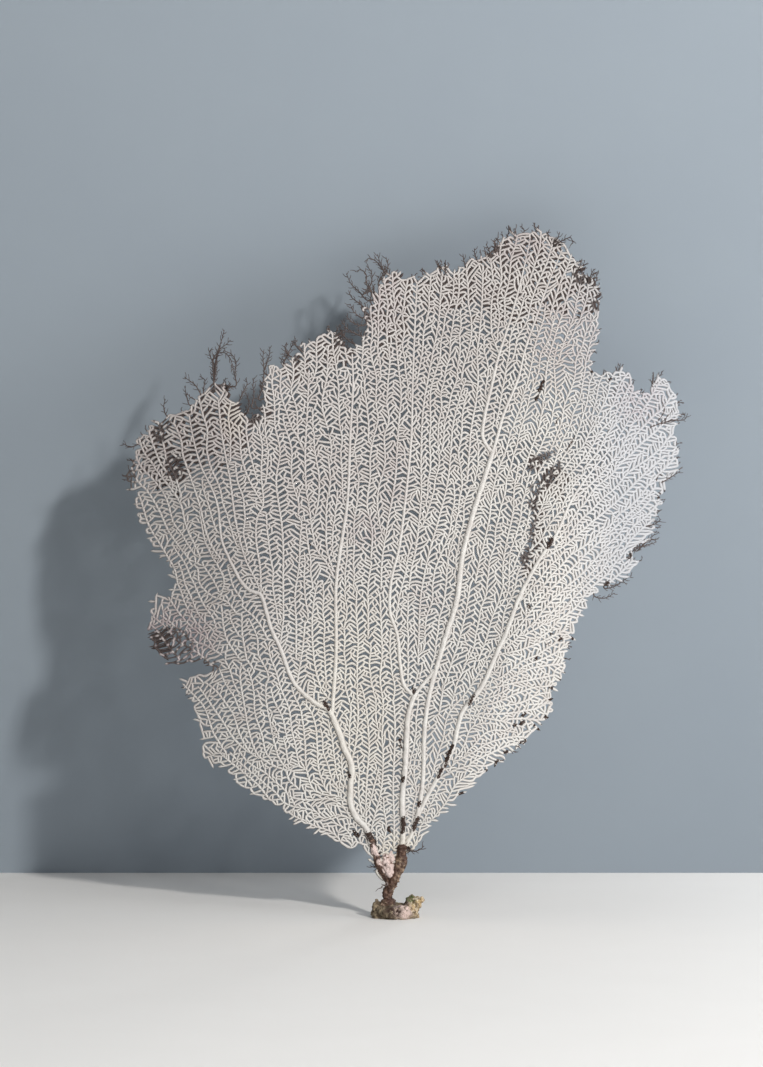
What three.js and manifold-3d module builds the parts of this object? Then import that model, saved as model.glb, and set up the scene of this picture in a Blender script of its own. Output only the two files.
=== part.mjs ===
// A dried sea fan that stands on the reef rock it grew on.
// Millimetres, +Z up, +Y away from the viewer. The origin is on the flat cut underside of the rock,
// below the foot of the stem. The fan is one grown thing, split here at its main forks: rock, holdfast,
// trunk, ribs, and the web of fine net that each pair of ribs carries, which is a thin bent sheet here.
import * as THREE from "three";
import { mergeVertices } from "three/addons/utils/BufferGeometryUtils.js";
import Module from "manifold-3d";

// Driving dimensions, in millimetres
const PIXEL = 0.65; // real size of one picture unit at the fan: 693 units of height are 450 mm
const VIEW_DISTANCE = 2000;
const VIEW_COLUMN = 381.5; // the viewer looks straight along +Y through this column and row
const VIEW_ROW = 533.5;
const FOOT_COLUMN = 398; // the origin's place in the picture
const FOOT_ROW = 917;
const WEB_THICKNESS = 1.4;
const GAP = 0.35; // clearance between neighbouring pieces
const SHEET_CELL = { across: 16, up: 36 }; // spacing of the bends in the sheet
const RIB_SLOT_DEPTH = 6; // the slot in the sheet that each rib sits in reaches this many radii front and back

// How the fan bends away from a flat upright sheet
const LEAN = -0.018; // forward lean, mm of depth for each mm of height
const RIGHT_FOLD = { foot: 5, slope: 0.37, reach: 25, bend: 0.8 };
const LEFT_FOLD = { foot: -52, slope: -0.15, reach: 30, bend: 0.36 };
const RIPPLE = { broad: 3.2, broadLength: 38, fine: 2.2, fineLength: 52, fromHeight: 60, overHeight: 160 };

// Outline of the net, clockwise from the left of the trunk, in picture columns and rows
const OUTLINE = [
  [383, 874], [373, 862], [362, 845], [345, 848], [318, 833], [282, 811], [250, 794], [228, 771],
  [203, 757], [203, 738], [189, 702], [180, 684], [200, 674], [221, 660], [188, 664], [165, 661],
  [151, 648], [148, 626], [153, 592], [172, 588], [164, 562], [147, 532], [136, 508], [134, 490],
  [125, 480], [131, 450], [140, 433], [160, 413], [186, 398], [206, 357], [222, 332], [238, 364],
  [236, 398], [247, 416], [255, 380], [269, 350], [290, 345], [330, 330], [350, 345], [350, 306],
  [352, 275], [380, 256], [398, 271], [421, 279], [442, 266], [470, 257], [491, 238], [522, 227],
  [556, 231], [576, 256], [599, 278], [602, 304], [596, 340], [594, 371], [624, 364], [640, 392],
  [658, 375], [676, 392], [679, 415], [678, 470], [660, 503], [655, 545], [634, 573], [606, 587],
  [585, 601], [568, 650], [553, 710], [520, 746], [478, 779], [447, 809], [427, 834], [419, 849],
  [404, 860], [394, 876],
];

// Ribs: the path in picture columns and rows, and the radii in millimetres, evenly spaced from foot to tip.
// Each one springs from a limb made before it and is cut to fit against that.
const HORN = 0x4a3028;
const RIND = 0xe8e3dc;
const LIMBS = [
  { name: "trunk", colour: HORN, radii: [3.1, 3.5], sides: 10, path: [[387, 901], [386.5, 894], [389, 887], [392.5, 879]] },
  { name: "trunk_fork_left", colour: HORN, radii: [2.5, 1.9], path: [[391, 882], [385, 875], [378, 862], [371, 840]] },
  { name: "trunk_fork_right", colour: HORN, radii: [3.0, 2.9], path: [[391, 882], [397, 873], [401, 862], [402, 847]] },
  { name: "rib_left_stem", colour: RIND, radii: [2.1, 2.3, 2.2],
    path: [[371, 841], [366, 828], [357, 818], [351, 806], [350.5, 789], [352, 768], [350, 760], [344, 748], [341, 737], [332, 715]] },
  { name: "rib_left_outer", colour: RIND, radii: [1.8, 1.5, 1.5, 1.1, 0.8, 0.6],
    path: [[332, 716], [328, 709], [317, 704], [295, 684], [281, 650], [271, 628], [263, 600], [260, 594], [250, 590.5], [241, 581],
      [234, 568], [228, 556], [222, 541], [220, 526], [218, 507], [213, 491], [201, 466], [193, 437], [188, 410], [184, 388]] },
  { name: "rib_left_inner", colour: RIND, radii: [1.5, 1.3, 1.3, 1, 0.6],
    path: [[332, 716], [333, 700], [336, 653], [336, 584], [341, 545], [347, 505], [350, 440], [353, 383], [351, 345], [350, 322]] },
  { name: "rib_centre_stem", colour: RIND, radii: [2, 2.1, 1.9],
    path: [[402, 850], [403, 832], [402.5, 795], [405, 770], [406.5, 742], [408.5, 714], [415, 694]] },
  { name: "rib_centre_left", colour: RIND, radii: [1.4, 1.1, 1, 0.8, 0.6],
    path: [[415, 695], [404, 685], [400, 662], [397, 634], [390, 612], [391, 582], [399, 548], [405.5, 498], [411, 440], [413, 370], [416, 300], [418, 268]] },
  { name: "rib_centre_link", colour: RIND, radii: [1.3, 1.3], path: [[415, 695], [425, 682], [436, 669]] },
  { name: "rib_main_stem", colour: RIND, radii: [1.7, 1.6, 1.7, 2, 1.9, 1.8],
    path: [[402, 850], [411, 835], [418, 812], [423, 780], [424, 742], [427, 708], [435, 673], [446, 636], [456.5, 602], [462, 559], [470, 525], [485, 476], [493, 451]] },
  { name: "rib_main_left", colour: RIND, radii: [1.4, 1.3, 1, 0.8, 0.5],
    path: [[493, 452], [483, 438], [484, 420], [493, 380], [498, 358], [511, 317], [521, 280], [528, 250], [533, 224]] },
  { name: "rib_main_right", colour: RIND, radii: [1.3, 1, 0.8, 0.5],
    path: [[493, 452], [497, 438], [504, 413], [518, 379], [525, 350], [536, 318], [548, 284], [560, 252], [567, 234]] },
  { name: "rib_right", colour: RIND, radii: [1.5, 1.7, 1.8, 1.6, 1.2, 0.8, 0.6],
    path: [[419, 816], [428, 795], [441, 772], [453, 748], [457, 731], [463, 711], [481, 688], [497, 653], [508, 628], [519, 598], [538, 562], [557, 533],
      [571, 501], [590, 473], [614, 443], [629, 419], [641, 388], [647, 366]] },
];

// The webs from left to right, each with a picture point inside it
const WEBS = {
  web_outer_left: [190, 560],
  web_left: [280, 560],
  web_centre_left: [370, 520],
  web_centre: [440, 500],
  web_stem: [414, 775],
  web_crown: [530, 320],
  web_centre_right: [540, 480],
  web_right: [600, 530],
};

// Reef rock and holdfast: centre, radii and strength of the bumps, in millimetres
const ROCK_LUMPS = [
  { centre: [-1.5, 1, 2], radii: [16.5, 17, 8.6], bumps: 0.11, phase: 1 },
  { centre: [9.5, -1, 6.5], radii: [7.6, 9, 6.4], bumps: 0.16, phase: 4 },
  { centre: [14.2, -2.5, 10.5], radii: [4.2, 4.6, 4.4], bumps: 0.2, phase: 7 },
  { centre: [-12.5, -2, 6.5], radii: [4.2, 5, 4.2], bumps: 0.18, phase: 9 },
];
const HOLDFAST_LUMP = { centre: [-7, -2, 9.5], radii: [6.6, 6.4, 3.8], bumps: 0.14, phase: 12 };
const ROCK_COLOUR = 0x9c8a74;
const HOLDFAST_COLOUR = 0x54392d;
const WEB_COLOUR = 0xe4dfd8;

const wasm = await Module();
wasm.setup();

// A closed three.js geometry as a solid that can be joined and cut
function solidOf(geometry) {
  const bare = geometry.clone();
  bare.deleteAttribute("normal");
  bare.deleteAttribute("uv");
  const merged = mergeVertices(bare, 1e-3);
  return new wasm.Manifold(
    new wasm.Mesh({
      numProp: 3,
      vertProperties: new Float32Array(merged.attributes.position.array),
      triVerts: new Uint32Array(merged.index.array),
    }),
  );
}

function geometryOf(solid) {
  const mesh = solid.getMesh();
  const geometry = new THREE.BufferGeometry();
  geometry.setAttribute("position", new THREE.BufferAttribute(mesh.vertProperties, 3));
  geometry.setIndex(new THREE.BufferAttribute(mesh.triVerts, 1));
  geometry.computeVertexNormals();
  return geometry;
}

function largestBody(solid) {
  return solid.decompose().sort((a, b) => b.volume() - a.volume())[0];
}

// Grows slowly from 0, then runs straight: the profile of a soft fold
function softFold(distance, reach) {
  return distance > 0 ? (distance * distance) / (distance + reach) : 0;
}

// Depth of the fan's middle surface at a place x across and z up
function sheetDepth(x, z) {
  const right = RIGHT_FOLD.bend * softFold(x - RIGHT_FOLD.foot - RIGHT_FOLD.slope * z, RIGHT_FOLD.reach);
  const left = LEFT_FOLD.bend * softFold(LEFT_FOLD.foot + LEFT_FOLD.slope * z - x, LEFT_FOLD.reach);
  const rise = THREE.MathUtils.smoothstep(z, RIPPLE.fromHeight, RIPPLE.fromHeight + RIPPLE.overHeight);
  const broad = RIPPLE.broad * Math.sin(x / RIPPLE.broadLength + 0.9);
  const fine = RIPPLE.fine * Math.sin(z / RIPPLE.fineLength + x / 90);
  return LEAN * z + right + left + rise * (broad + fine);
}

// The point of the fan's surface that is seen at a picture column and row
function onSheet([column, row]) {
  const footX = (VIEW_COLUMN - FOOT_COLUMN) * PIXEL;
  const footZ = (FOOT_ROW - VIEW_ROW) * PIXEL;
  const point = new THREE.Vector3(0, 0, 0);
  for (let pass = 0; pass < 5; pass++) {
    const spread = 1 + point.y / VIEW_DISTANCE;
    point.x = footX + (column - VIEW_COLUMN) * PIXEL * spread;
    point.z = footZ + (VIEW_ROW - row) * PIXEL * spread;
    point.y = sheetDepth(point.x, point.z);
  }
  return point;
}

// The radius at a share of the way along, from radii evenly spaced between foot and tip
function radiusAt(radii, share) {
  const place = share * (radii.length - 1);
  const below = Math.min(Math.floor(place), radii.length - 2);
  return THREE.MathUtils.lerp(radii[below], radii[below + 1], place - below);
}

// A closed tube along a smooth curve. It can be made deeper front to back than it is wide.
function taperedTube(points, radii, sides, deeper = 1) {
  const curve = new THREE.CatmullRomCurve3(points, false, "centripetal");
  const rings = Math.max(3, Math.round(curve.getLength() / 13));
  const positions = [];
  const index = [];
  const up = new THREE.Vector3(0, 1, 0);
  for (let ring = 0; ring <= rings; ring++) {
    const share = ring / rings;
    const centre = curve.getPointAt(share);
    const along = curve.getTangentAt(share);
    const side = new THREE.Vector3().crossVectors(along, up).normalize();
    const front = new THREE.Vector3().crossVectors(along, side).normalize();
    const radius = radiusAt(radii, share);
    for (let k = 0; k < sides; k++) {
      const angle = (2 * Math.PI * k) / sides;
      const spoke = side.clone().multiplyScalar(Math.cos(angle) * radius);
      spoke.addScaledVector(front, Math.sin(angle) * radius * deeper).add(centre);
      positions.push(spoke.x, spoke.y, spoke.z);
    }
  }
  for (let ring = 0; ring < rings; ring++) {
    for (let k = 0; k < sides; k++) {
      const a = ring * sides + k;
      const b = ring * sides + ((k + 1) % sides);
      index.push(a, b, a + sides, b, b + sides, a + sides);
    }
  }
  const last = rings * sides;
  for (let k = 1; k < sides - 1; k++) {
    index.push(0, k + 1, k);
    index.push(last, last + k, last + k + 1);
  }
  const geometry = new THREE.BufferGeometry();
  geometry.setAttribute("position", new THREE.Float32BufferAttribute(positions, 3));
  geometry.setIndex(index);
  return geometry;
}

function limbSolid(limb, extra = 0, deeper = 1) {
  const radii = limb.radii.map((radius) => radius + extra);
  return solidOf(taperedTube(limb.path.map(onSheet), radii, limb.sides ?? 8, deeper));
}

// An ellipsoid with broad bumps, as a weathered lump of rock has
function lump({ centre, radii, bumps, phase }, extra = 0) {
  const geometry = new THREE.IcosahedronGeometry(1, 3);
  const position = geometry.attributes.position;
  const p = new THREE.Vector3();
  for (let i = 0; i < position.count; i++) {
    p.fromBufferAttribute(position, i).normalize();
    const wave = Math.sin(3.1 * p.x + phase) * Math.sin(3.7 * p.y - phase) + 0.6 * Math.sin(6.3 * p.z + 5.2 * p.x + phase);
    const swell = 1 + bumps * wave;
    p.set(p.x * (radii[0] * swell + extra), p.y * (radii[1] * swell + extra), p.z * (radii[2] * swell + extra));
    position.setXYZ(i, p.x + centre[0], p.y + centre[1], p.z + centre[2]);
  }
  return solidOf(geometry);
}

// Everything above the flat cut at z = 0
function cutFlat(solid) {
  const size = 80;
  const below = new THREE.BoxGeometry(size, size, size).translate(0, 0, -size / 2);
  return solid.subtract(solidOf(below));
}

function rockSolid(extra = 0) {
  return ROCK_LUMPS.map((one) => lump(one, extra)).reduce((whole, one) => whole.add(one));
}

// The whole net as one thin bent sheet: a slab with regular bends, cut to the outline
function netSheet() {
  const width = 420;
  const height = 470;
  const columns = Math.round(width / SHEET_CELL.across);
  const rows = Math.round(height / SHEET_CELL.up);
  const slab = new THREE.BoxGeometry(width, WEB_THICKNESS, height, columns, 1, rows);
  slab.translate(0, 0, height / 2);
  const position = slab.attributes.position;
  for (let i = 0; i < position.count; i++) {
    position.setY(i, position.getY(i) + sheetDepth(position.getX(i), position.getZ(i)));
  }
  const corners = OUTLINE.map(onSheet).map((p) => new THREE.Vector2(p.x, p.z));
  const throughDepth = 400;
  const prism = new THREE.ExtrudeGeometry(new THREE.Shape(corners), { depth: throughDepth, bevelEnabled: false });
  prism.rotateX(Math.PI / 2).translate(0, throughDepth / 2, 0);
  return solidOf(slab).intersect(solidOf(prism));
}

const group = new THREE.Group();

function addPiece(name, solid, colour, roughness) {
  const material = new THREE.MeshStandardMaterial({ color: colour, roughness, metalness: 0 });
  const mesh = new THREE.Mesh(geometryOf(largestBody(solid)), material);
  mesh.name = name;
  group.add(mesh);
}

const rock = cutFlat(rockSolid());
addPiece("reef_rock", rock, ROCK_COLOUR, 0.95);

const holdfast = lump(HOLDFAST_LUMP).subtract(rockSolid(GAP));

addPiece("holdfast", holdfast, HOLDFAST_COLOUR, 0.8);

// Each limb is cut back from its parent and from the limbs made before it
let grown = lump(HOLDFAST_LUMP, GAP);
let slots = grown;
for (const limb of LIMBS) {
  addPiece(limb.name, limbSolid(limb).subtract(grown), limb.colour, 0.75);
  grown = grown.add(limbSolid(limb, GAP));
  slots = slots.add(limbSolid(limb, GAP, RIB_SLOT_DEPTH));
}

// The ribs divide the net into webs
const bodies = netSheet().subtract(slots).decompose();
for (const [name, inside] of Object.entries(WEBS)) {
  const probe = onSheet(inside);
  const needle = new THREE.BoxGeometry(0.5, 40, 0.5).translate(probe.x, probe.y, probe.z);
  const found = bodies.find((body) => body.intersect(solidOf(needle)).volume() > 0);
  addPiece(name, found, WEB_COLOUR, 0.9);
}

export default group;
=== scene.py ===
import math
import random

import bpy
import numpy as np
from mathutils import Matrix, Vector, noise


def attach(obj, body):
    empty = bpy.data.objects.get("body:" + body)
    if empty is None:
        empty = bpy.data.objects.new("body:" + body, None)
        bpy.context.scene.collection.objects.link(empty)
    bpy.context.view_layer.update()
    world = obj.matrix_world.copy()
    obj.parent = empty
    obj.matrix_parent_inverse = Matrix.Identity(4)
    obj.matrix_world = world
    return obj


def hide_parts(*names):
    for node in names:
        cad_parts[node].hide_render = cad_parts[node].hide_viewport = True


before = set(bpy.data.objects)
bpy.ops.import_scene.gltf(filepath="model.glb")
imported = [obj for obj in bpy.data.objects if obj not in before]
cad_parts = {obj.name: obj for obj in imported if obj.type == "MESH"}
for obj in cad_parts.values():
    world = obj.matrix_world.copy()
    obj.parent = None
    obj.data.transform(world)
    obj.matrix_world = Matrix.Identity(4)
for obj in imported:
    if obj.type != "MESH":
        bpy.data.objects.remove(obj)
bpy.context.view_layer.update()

# The view that the fan is laid out in. The eye is level with the middle of the fan, two metres in front of
# it, and every place on the fan is read as a column and a row of that picture, 763 by 1067 across.
MM = 0.001
PICTURE_ROWS = 1067
PIXEL = 0.65 * MM
VIEW_DISTANCE = 2.0
VIEW_COLUMN, VIEW_ROW = 381.5, 533.5
FOOT_COLUMN, FOOT_ROW = 398, 917
LENS_SENSOR = 24.0

eye_x = (VIEW_COLUMN - FOOT_COLUMN) * PIXEL
eye_z = (FOOT_ROW - VIEW_ROW) * PIXEL
camera = bpy.data.objects.new("camera", bpy.data.cameras.new("camera"))
camera.location = (eye_x, -VIEW_DISTANCE, eye_z)
camera.rotation_euler = (math.pi / 2, 0, 0)
camera.data.sensor_fit = "VERTICAL"
camera.data.sensor_height = LENS_SENSOR
camera.data.lens = LENS_SENSOR * VIEW_DISTANCE / (PICTURE_ROWS * PIXEL)
bpy.context.scene.collection.objects.link(camera)
bpy.context.scene.camera = camera

# The surface that the whole fan grew in. It leans a little forward, folds softly towards the back at its
# right lobe and at its left edge, and has low ripples across it. All sizes in millimetres.
LEAN = -0.018
RIGHT_FOLD = {"foot": 5, "slope": 0.37, "reach": 25, "bend": 0.8}
LEFT_FOLD = {"foot": -52, "slope": -0.15, "reach": 30, "bend": 0.36}
RIPPLE = {"broad": 3.2, "broad_length": 38, "fine": 2.2, "fine_length": 52, "start": 60, "over": 160}


def soft_fold(distance, reach):
    """Zero before the fold, then growing slowly and at last straight"""
    ahead = np.maximum(distance, 0)
    return ahead * ahead / (ahead + reach)


def sheet_depth(x, z):
    """How far back the fan's middle surface lies, in mm, at a place in mm"""
    past_right = x - RIGHT_FOLD["foot"] - RIGHT_FOLD["slope"] * z
    past_left = LEFT_FOLD["foot"] + LEFT_FOLD["slope"] * z - x
    right = RIGHT_FOLD["bend"] * soft_fold(past_right, RIGHT_FOLD["reach"])
    left = LEFT_FOLD["bend"] * soft_fold(past_left, LEFT_FOLD["reach"])
    share = np.clip((z - RIPPLE["start"]) / RIPPLE["over"], 0, 1)
    rise = share * share * (3 - 2 * share)
    broad = RIPPLE["broad"] * np.sin(x / RIPPLE["broad_length"] + 0.9)
    fine = RIPPLE["fine"] * np.sin(z / RIPPLE["fine_length"] + x / 90)
    return LEAN * z + right + left + rise * (broad + fine)


def on_sheet(columns, rows):
    """The points of the fan's surface, in metres, that are seen at these columns and rows"""
    columns, rows = np.asarray(columns, float), np.asarray(rows, float)
    depth = np.zeros(columns.shape)
    for step in range(5):
        spread = PIXEL * (1 + depth / VIEW_DISTANCE)
        x = eye_x + (columns - VIEW_COLUMN) * spread
        z = eye_z + (VIEW_ROW - rows) * spread
        depth = sheet_depth(x / MM, z / MM) * MM
    return np.stack([x, depth, z], axis=-1)


def sheet_facing(columns, rows):
    """The directions square to the fan's surface, towards the eye"""
    columns, rows = np.asarray(columns, float), np.asarray(rows, float)
    here = on_sheet(columns, rows)
    facing = np.cross(on_sheet(columns + 1, rows) - here, on_sheet(columns, rows - 1) - here)
    return facing / np.linalg.norm(facing, axis=-1, keepdims=True)


# Reef rock: the lump of old limestone that the fan grew on, cut off flat underneath. Grey-brown and rough,
# with pink and cream crusts of coralline algae in the middle and a skin of green algae on its right tip.
ROCK_LUMPS = [
    {"centre": (-6.0, 1, 2.4), "radii": (10.4, 15, 7.2), "bumps": 0.1, "phase": 1},
    {"centre": (3.2, -0.5, 2.2), "radii": (9.5, 13, 6.2), "bumps": 0.12, "phase": 4},
    {"centre": (8.4, -2, 6.8), "radii": (4.8, 6.5, 6.2), "bumps": 0.16, "phase": 6},
    {"centre": (12.2, -3, 9.6), "radii": (3.7, 4.4, 4.0), "bumps": 0.18, "phase": 7},
    {"centre": (15.3, -3.5, 11.4), "radii": (2.6, 2.8, 2.2), "bumps": 0.12, "phase": 2},
    {"centre": (9.4, -3, 12.2), "radii": (2.4, 2.8, 2.6), "bumps": 0.1, "phase": 3},
    {"centre": (-13.2, -2, 7.2), "radii": (3.3, 4, 4.0), "bumps": 0.16, "phase": 9},
]


def linear(colour):
    """An sRGB hex colour as the linear values that a shader takes"""
    parts = [int(colour[place:place + 2], 16) / 255 for place in (0, 2, 4)]
    return [p / 12.92 if p <= 0.04045 else ((p + 0.055) / 1.055) ** 2.4 for p in parts] + [1]


def new_material(name):
    material = bpy.data.materials.new(name)
    material.use_nodes = True
    return material


def add_node(material, kind, inputs=None, **settings):
    """Adds a node, makes its settings, and fills inputs with values or with other nodes' outputs"""
    made = material.node_tree.nodes.new(kind)
    for name, value in settings.items():
        setattr(made, name, value)
    for name, value in (inputs or {}).items():
        if isinstance(value, bpy.types.NodeSocket):
            material.node_tree.links.new(value, made.inputs[name])
        else:
            made.inputs[name].default_value = value
    return made


def layered_finish(material, ground, layers, roughness, relief, height):
    """Lays colours over a ground colour and adds a fine relief, its height in mm.

    A layer covers the places where its mark is set on the mesh, and of those only the lumps that it shows on.
    Lumps are noise, given by their size in mm, their detail and their roughness. Shows says at which values
    of the noise the layer starts and is full, least how much of it lies elsewhere, and edge sharpens the
    outline of mark and lumps together."""
    place = add_node(material, "ShaderNodeTexCoord").outputs["Object"]
    noises = {}
    for lumps in [layer["lumps"] for layer in layers if "lumps" in layer] + [relief]:
        if lumps not in noises:
            size, detail, unevenness = lumps
            noises[lumps] = add_node(material, "ShaderNodeTexNoise", {
                "Vector": place, "Scale": 1 / (size * MM), "Detail": detail, "Roughness": unevenness,
            }).outputs["Fac"]
    colour = linear(ground)
    for layer in layers:
        share = noises.get(layer.get("lumps"))
        if "shows" in layer:
            start, full = layer["shows"]
            share = add_node(material, "ShaderNodeMapRange", {
                "Value": share, "From Min": start, "From Max": full, "To Min": layer.get("least", 0.0),
            }, interpolation_type="SMOOTHSTEP").outputs["Result"]
        if "mark" in layer:
            mark = add_node(material, "ShaderNodeAttribute", attribute_name=layer["mark"]).outputs["Fac"]
            share = mark if share is None else add_node(
                material, "ShaderNodeMath", {0: mark, 1: share}, operation="MULTIPLY").outputs[0]
        if "edge" in layer:
            start, full = layer["edge"]
            share = add_node(material, "ShaderNodeMapRange", {
                "Value": share, "From Min": start, "From Max": full,
            }, interpolation_type="SMOOTHSTEP").outputs["Result"]
        colour = add_node(material, "ShaderNodeMix", {0: share, 6: colour, 7: linear(layer["colour"])},
                          data_type="RGBA").outputs[2]
    bump = add_node(material, "ShaderNodeBump", {
        "Height": noises[relief], "Distance": height * MM, "Strength": 1.0})
    shader = material.node_tree.nodes["Principled BSDF"]
    shader.inputs["Roughness"].default_value = roughness
    material.node_tree.links.new(colour, shader.inputs["Base Color"])
    material.node_tree.links.new(bump.outputs["Normal"], shader.inputs["Normal"])
    return shader


def make_piece(name, points, faces, material, marks=None):
    """A smooth-shaded mesh piece of the fan; marks are named values at its points"""
    mesh = bpy.data.meshes.new(name)
    points = np.asarray(points, np.float32)
    faces = [np.asarray(group, np.int32) for group in (faces if isinstance(faces, tuple) else (faces,))]
    sizes = np.concatenate([np.full(len(group), group.shape[1], np.int32) for group in faces])
    mesh.vertices.add(len(points))
    mesh.vertices.foreach_set("co", points.ravel())
    mesh.loops.add(int(sizes.sum()))
    mesh.loops.foreach_set("vertex_index", np.concatenate([group.ravel() for group in faces]))
    mesh.polygons.add(len(sizes))
    mesh.polygons.foreach_set("loop_start", np.concatenate([[0], np.cumsum(sizes)[:-1]]).astype(np.int32))
    mesh.update(calc_edges=True)
    mesh.shade_smooth()
    for mark, values in (marks or {}).items():
        carried = mesh.attributes.new(mark, "FLOAT", "POINT")
        carried.data.foreach_set("value", np.asarray(values, np.float32))
    mesh.materials.append(material)
    piece = bpy.data.objects.new(name, mesh)
    bpy.context.scene.collection.objects.link(piece)
    return piece


def round_grid(rings, sides):
    """Points of a unit ball in rings from pole to pole, and its faces"""
    points = [(0, 0, 1)]
    for ring in range(1, rings):
        tilt = math.pi * ring / rings
        for side in range(sides):
            turn = 2 * math.pi * side / sides
            out = math.sin(tilt)
            points.append((out * math.cos(turn), out * math.sin(turn), math.cos(tilt)))
    points.append((0, 0, -1))
    last = len(points) - 1
    quads, caps = [], []
    for side in range(sides):
        after = (side + 1) % sides
        caps.append((0, 1 + side, 1 + after))
        foot = 1 + (rings - 2) * sides
        caps.append((last, foot + after, foot + side))
        for ring in range(rings - 2):
            top = 1 + ring * sides
            quads.append((top + side, top + sides + side, top + sides + after, top + after))
    return np.array(points), (quads, caps)


def lump_points(unit, shape, extra=0.0):
    """A unit ball swollen into one of the rock's lumps, in mm"""
    x, y, z = unit.T
    phase = shape["phase"]
    wave = np.sin(3.1 * x + phase) * np.sin(3.7 * y - phase) + 0.6 * np.sin(6.3 * z + 5.2 * x + phase)
    swell = 1 + shape["bumps"] * wave
    return unit * (np.outer(swell, shape["radii"]) + extra) + np.array(shape["centre"])


def fused(name, shapes, cell, extra=0.0):
    """One closed skin around several overlapping lumps, as mm points and faces"""
    unit, (quads, caps) = round_grid(28, 40)
    points = np.concatenate([lump_points(unit, shape, extra) for shape in shapes])
    quads = np.concatenate([np.array(quads) + len(unit) * k for k in range(len(shapes))])
    caps = np.concatenate([np.array(caps) + len(unit) * k for k in range(len(shapes))])
    rough = make_piece(name, points * MM, (quads, caps), None)
    skin = rough.modifiers.new("skin", "REMESH")
    skin.mode = "VOXEL"
    skin.voxel_size = cell * MM
    soften = rough.modifiers.new("soften", "SMOOTH")
    soften.factor = 0.5
    soften.iterations = 3
    made = bpy.data.meshes.new_from_object(rough.evaluated_get(bpy.context.evaluated_depsgraph_get()))
    skin_points = np.empty(len(made.vertices) * 3)
    made.vertices.foreach_get("co", skin_points)
    normals = np.empty(len(made.vertices) * 3)
    made.vertices.foreach_get("normal", normals)
    corners = np.array([list(face.vertices) for face in made.polygons])
    bpy.data.meshes.remove(made)
    bpy.data.objects.remove(rough)
    return skin_points.reshape(-1, 3) / MM, normals.reshape(-1, 3), corners


def rumple(points, normals, layers):
    """Points moved along their normals by layers of noise, each a lump size and a height in mm"""
    moved = points.copy()
    for k, point in enumerate(points):
        move = sum(high * noise.noise(Vector(point) / size + Vector((7.1 * n, 3.3 * n, 1.7)))
                   for n, (size, high) in enumerate(layers))
        moved[k] += normals[k] * move
    return moved


def reef_limestone():
    """Weathered limestone under dried crusts: matt and pitted, its colours in patches of a few mm"""
    stone = new_material("weathered_reef_limestone")
    grit = (0.5, 3.0, 0.55)
    patches = (2.6, 4.0, 0.55)
    layered_finish(stone, "56493a", [
        {"colour": "96876f", "lumps": (3.4, 4.0, 0.55), "shows": (0.4, 0.6)},
        {"colour": "d3bdb4", "mark": "pink_crust", "lumps": patches, "shows": (0.36, 0.5)},
        {"colour": "b89f78", "mark": "ochre_crust", "lumps": patches, "shows": (0.38, 0.55)},
        {"colour": "e3d6c0", "mark": "ochre_crust", "lumps": (1.7, 3.0, 0.55), "shows": (0.52, 0.6)},
        {"colour": "525a35", "mark": "green_skin", "lumps": patches, "shows": (0.4, 0.55)},
        {"colour": "35231a", "mark": "brown_stain", "lumps": patches, "shows": (0.4, 0.55)},
        {"colour": "30271d", "lumps": grit, "shows": (0.48, 0.3)},
    ], 0.9, grit, 0.35)
    return stone


def near(points, centre, reach):
    """1 at a place in mm, falling to 0 at the reach"""
    share = np.clip(1 - np.linalg.norm(points - np.array(centre), axis=1) / reach, 0, 1)
    return share * share * (3 - 2 * share)


rock_points, rock_normals, rock_faces = fused("rock_skin", ROCK_LUMPS, 0.45)
rock_points = rumple(rock_points, rock_normals, [(5.5, 1.3), (2.4, 0.9), (1.0, 0.5)])
rock_points[:, 2] = np.maximum(rock_points[:, 2], 0)
rock = make_piece("rough_reef_rock", rock_points * MM, rock_faces, reef_limestone(), {
    "pink_crust": np.clip(near(rock_points, (3, -11, 6), 9) * 2.2, 0, 1),
    "ochre_crust": np.clip(near(rock_points, (14, -4, 8), 10) * 2.4, 0, 1),
    "green_skin": np.clip(near(rock_points, (8.6, -6, 12.5), 5) * 2.2, 0, 1),
    "brown_stain": np.clip(near(rock_points, (-3, -13, 6), 8) * 2.0, 0, 1),
})
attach(rock, "root")
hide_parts("reef_rock")

# Holdfast: the foot of the fan's own dark horn, spread like wax over the left of the rock, with the
# chalky rind worn off it. Horn is brown-black, fibrous and slightly glossy where it is bare.
HOLDFAST_LUMP = {"centre": (-7, -2, 8.8), "radii": (5.4, 5.8, 3.2), "bumps": 0.16, "phase": 12}


def bare_horn():
    """Dry gorgonian horn: dark red-brown and satin, with fine fibres, rusty wear and scraps of rind"""
    horn = new_material("bare_gorgonian_horn")
    fibre = (0.45, 4.0, 0.55)
    patches = (1.9, 5.0, 0.65)
    layered_finish(horn, "2c1b15", [
        {"colour": "553a2c", "lumps": fibre, "shows": (0.3, 0.7)},
        {"colour": "6f5545", "lumps": (2.6, 4.0, 0.55), "shows": (0.5, 0.64)},
        {"colour": "97826c", "mark": "tan_rind", "lumps": patches, "shows": (0.42, 0.6)},
        {"colour": "cdbab4", "mark": "pink_rind", "lumps": patches, "shows": (0.25, 0.6),
         "edge": (0.3, 0.55)},
        {"colour": "463f3e", "mark": "weathered"},
    ], 0.62, fibre, 0.3)
    return horn


horn = bare_horn()
foot_points, foot_normals, foot_faces = fused("foot_skin", [HOLDFAST_LUMP], 0.4)
foot_points = rumple(foot_points, foot_normals, [(3.5, 0.9), (1.4, 0.6)])
holdfast = make_piece("horn_holdfast", foot_points * MM, foot_faces, horn, {
    "tan_rind": np.clip(near(foot_points, (-11, -8, 9), 5) * 1.5, 0, 1),
})
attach(holdfast, "root")
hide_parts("holdfast")

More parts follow.
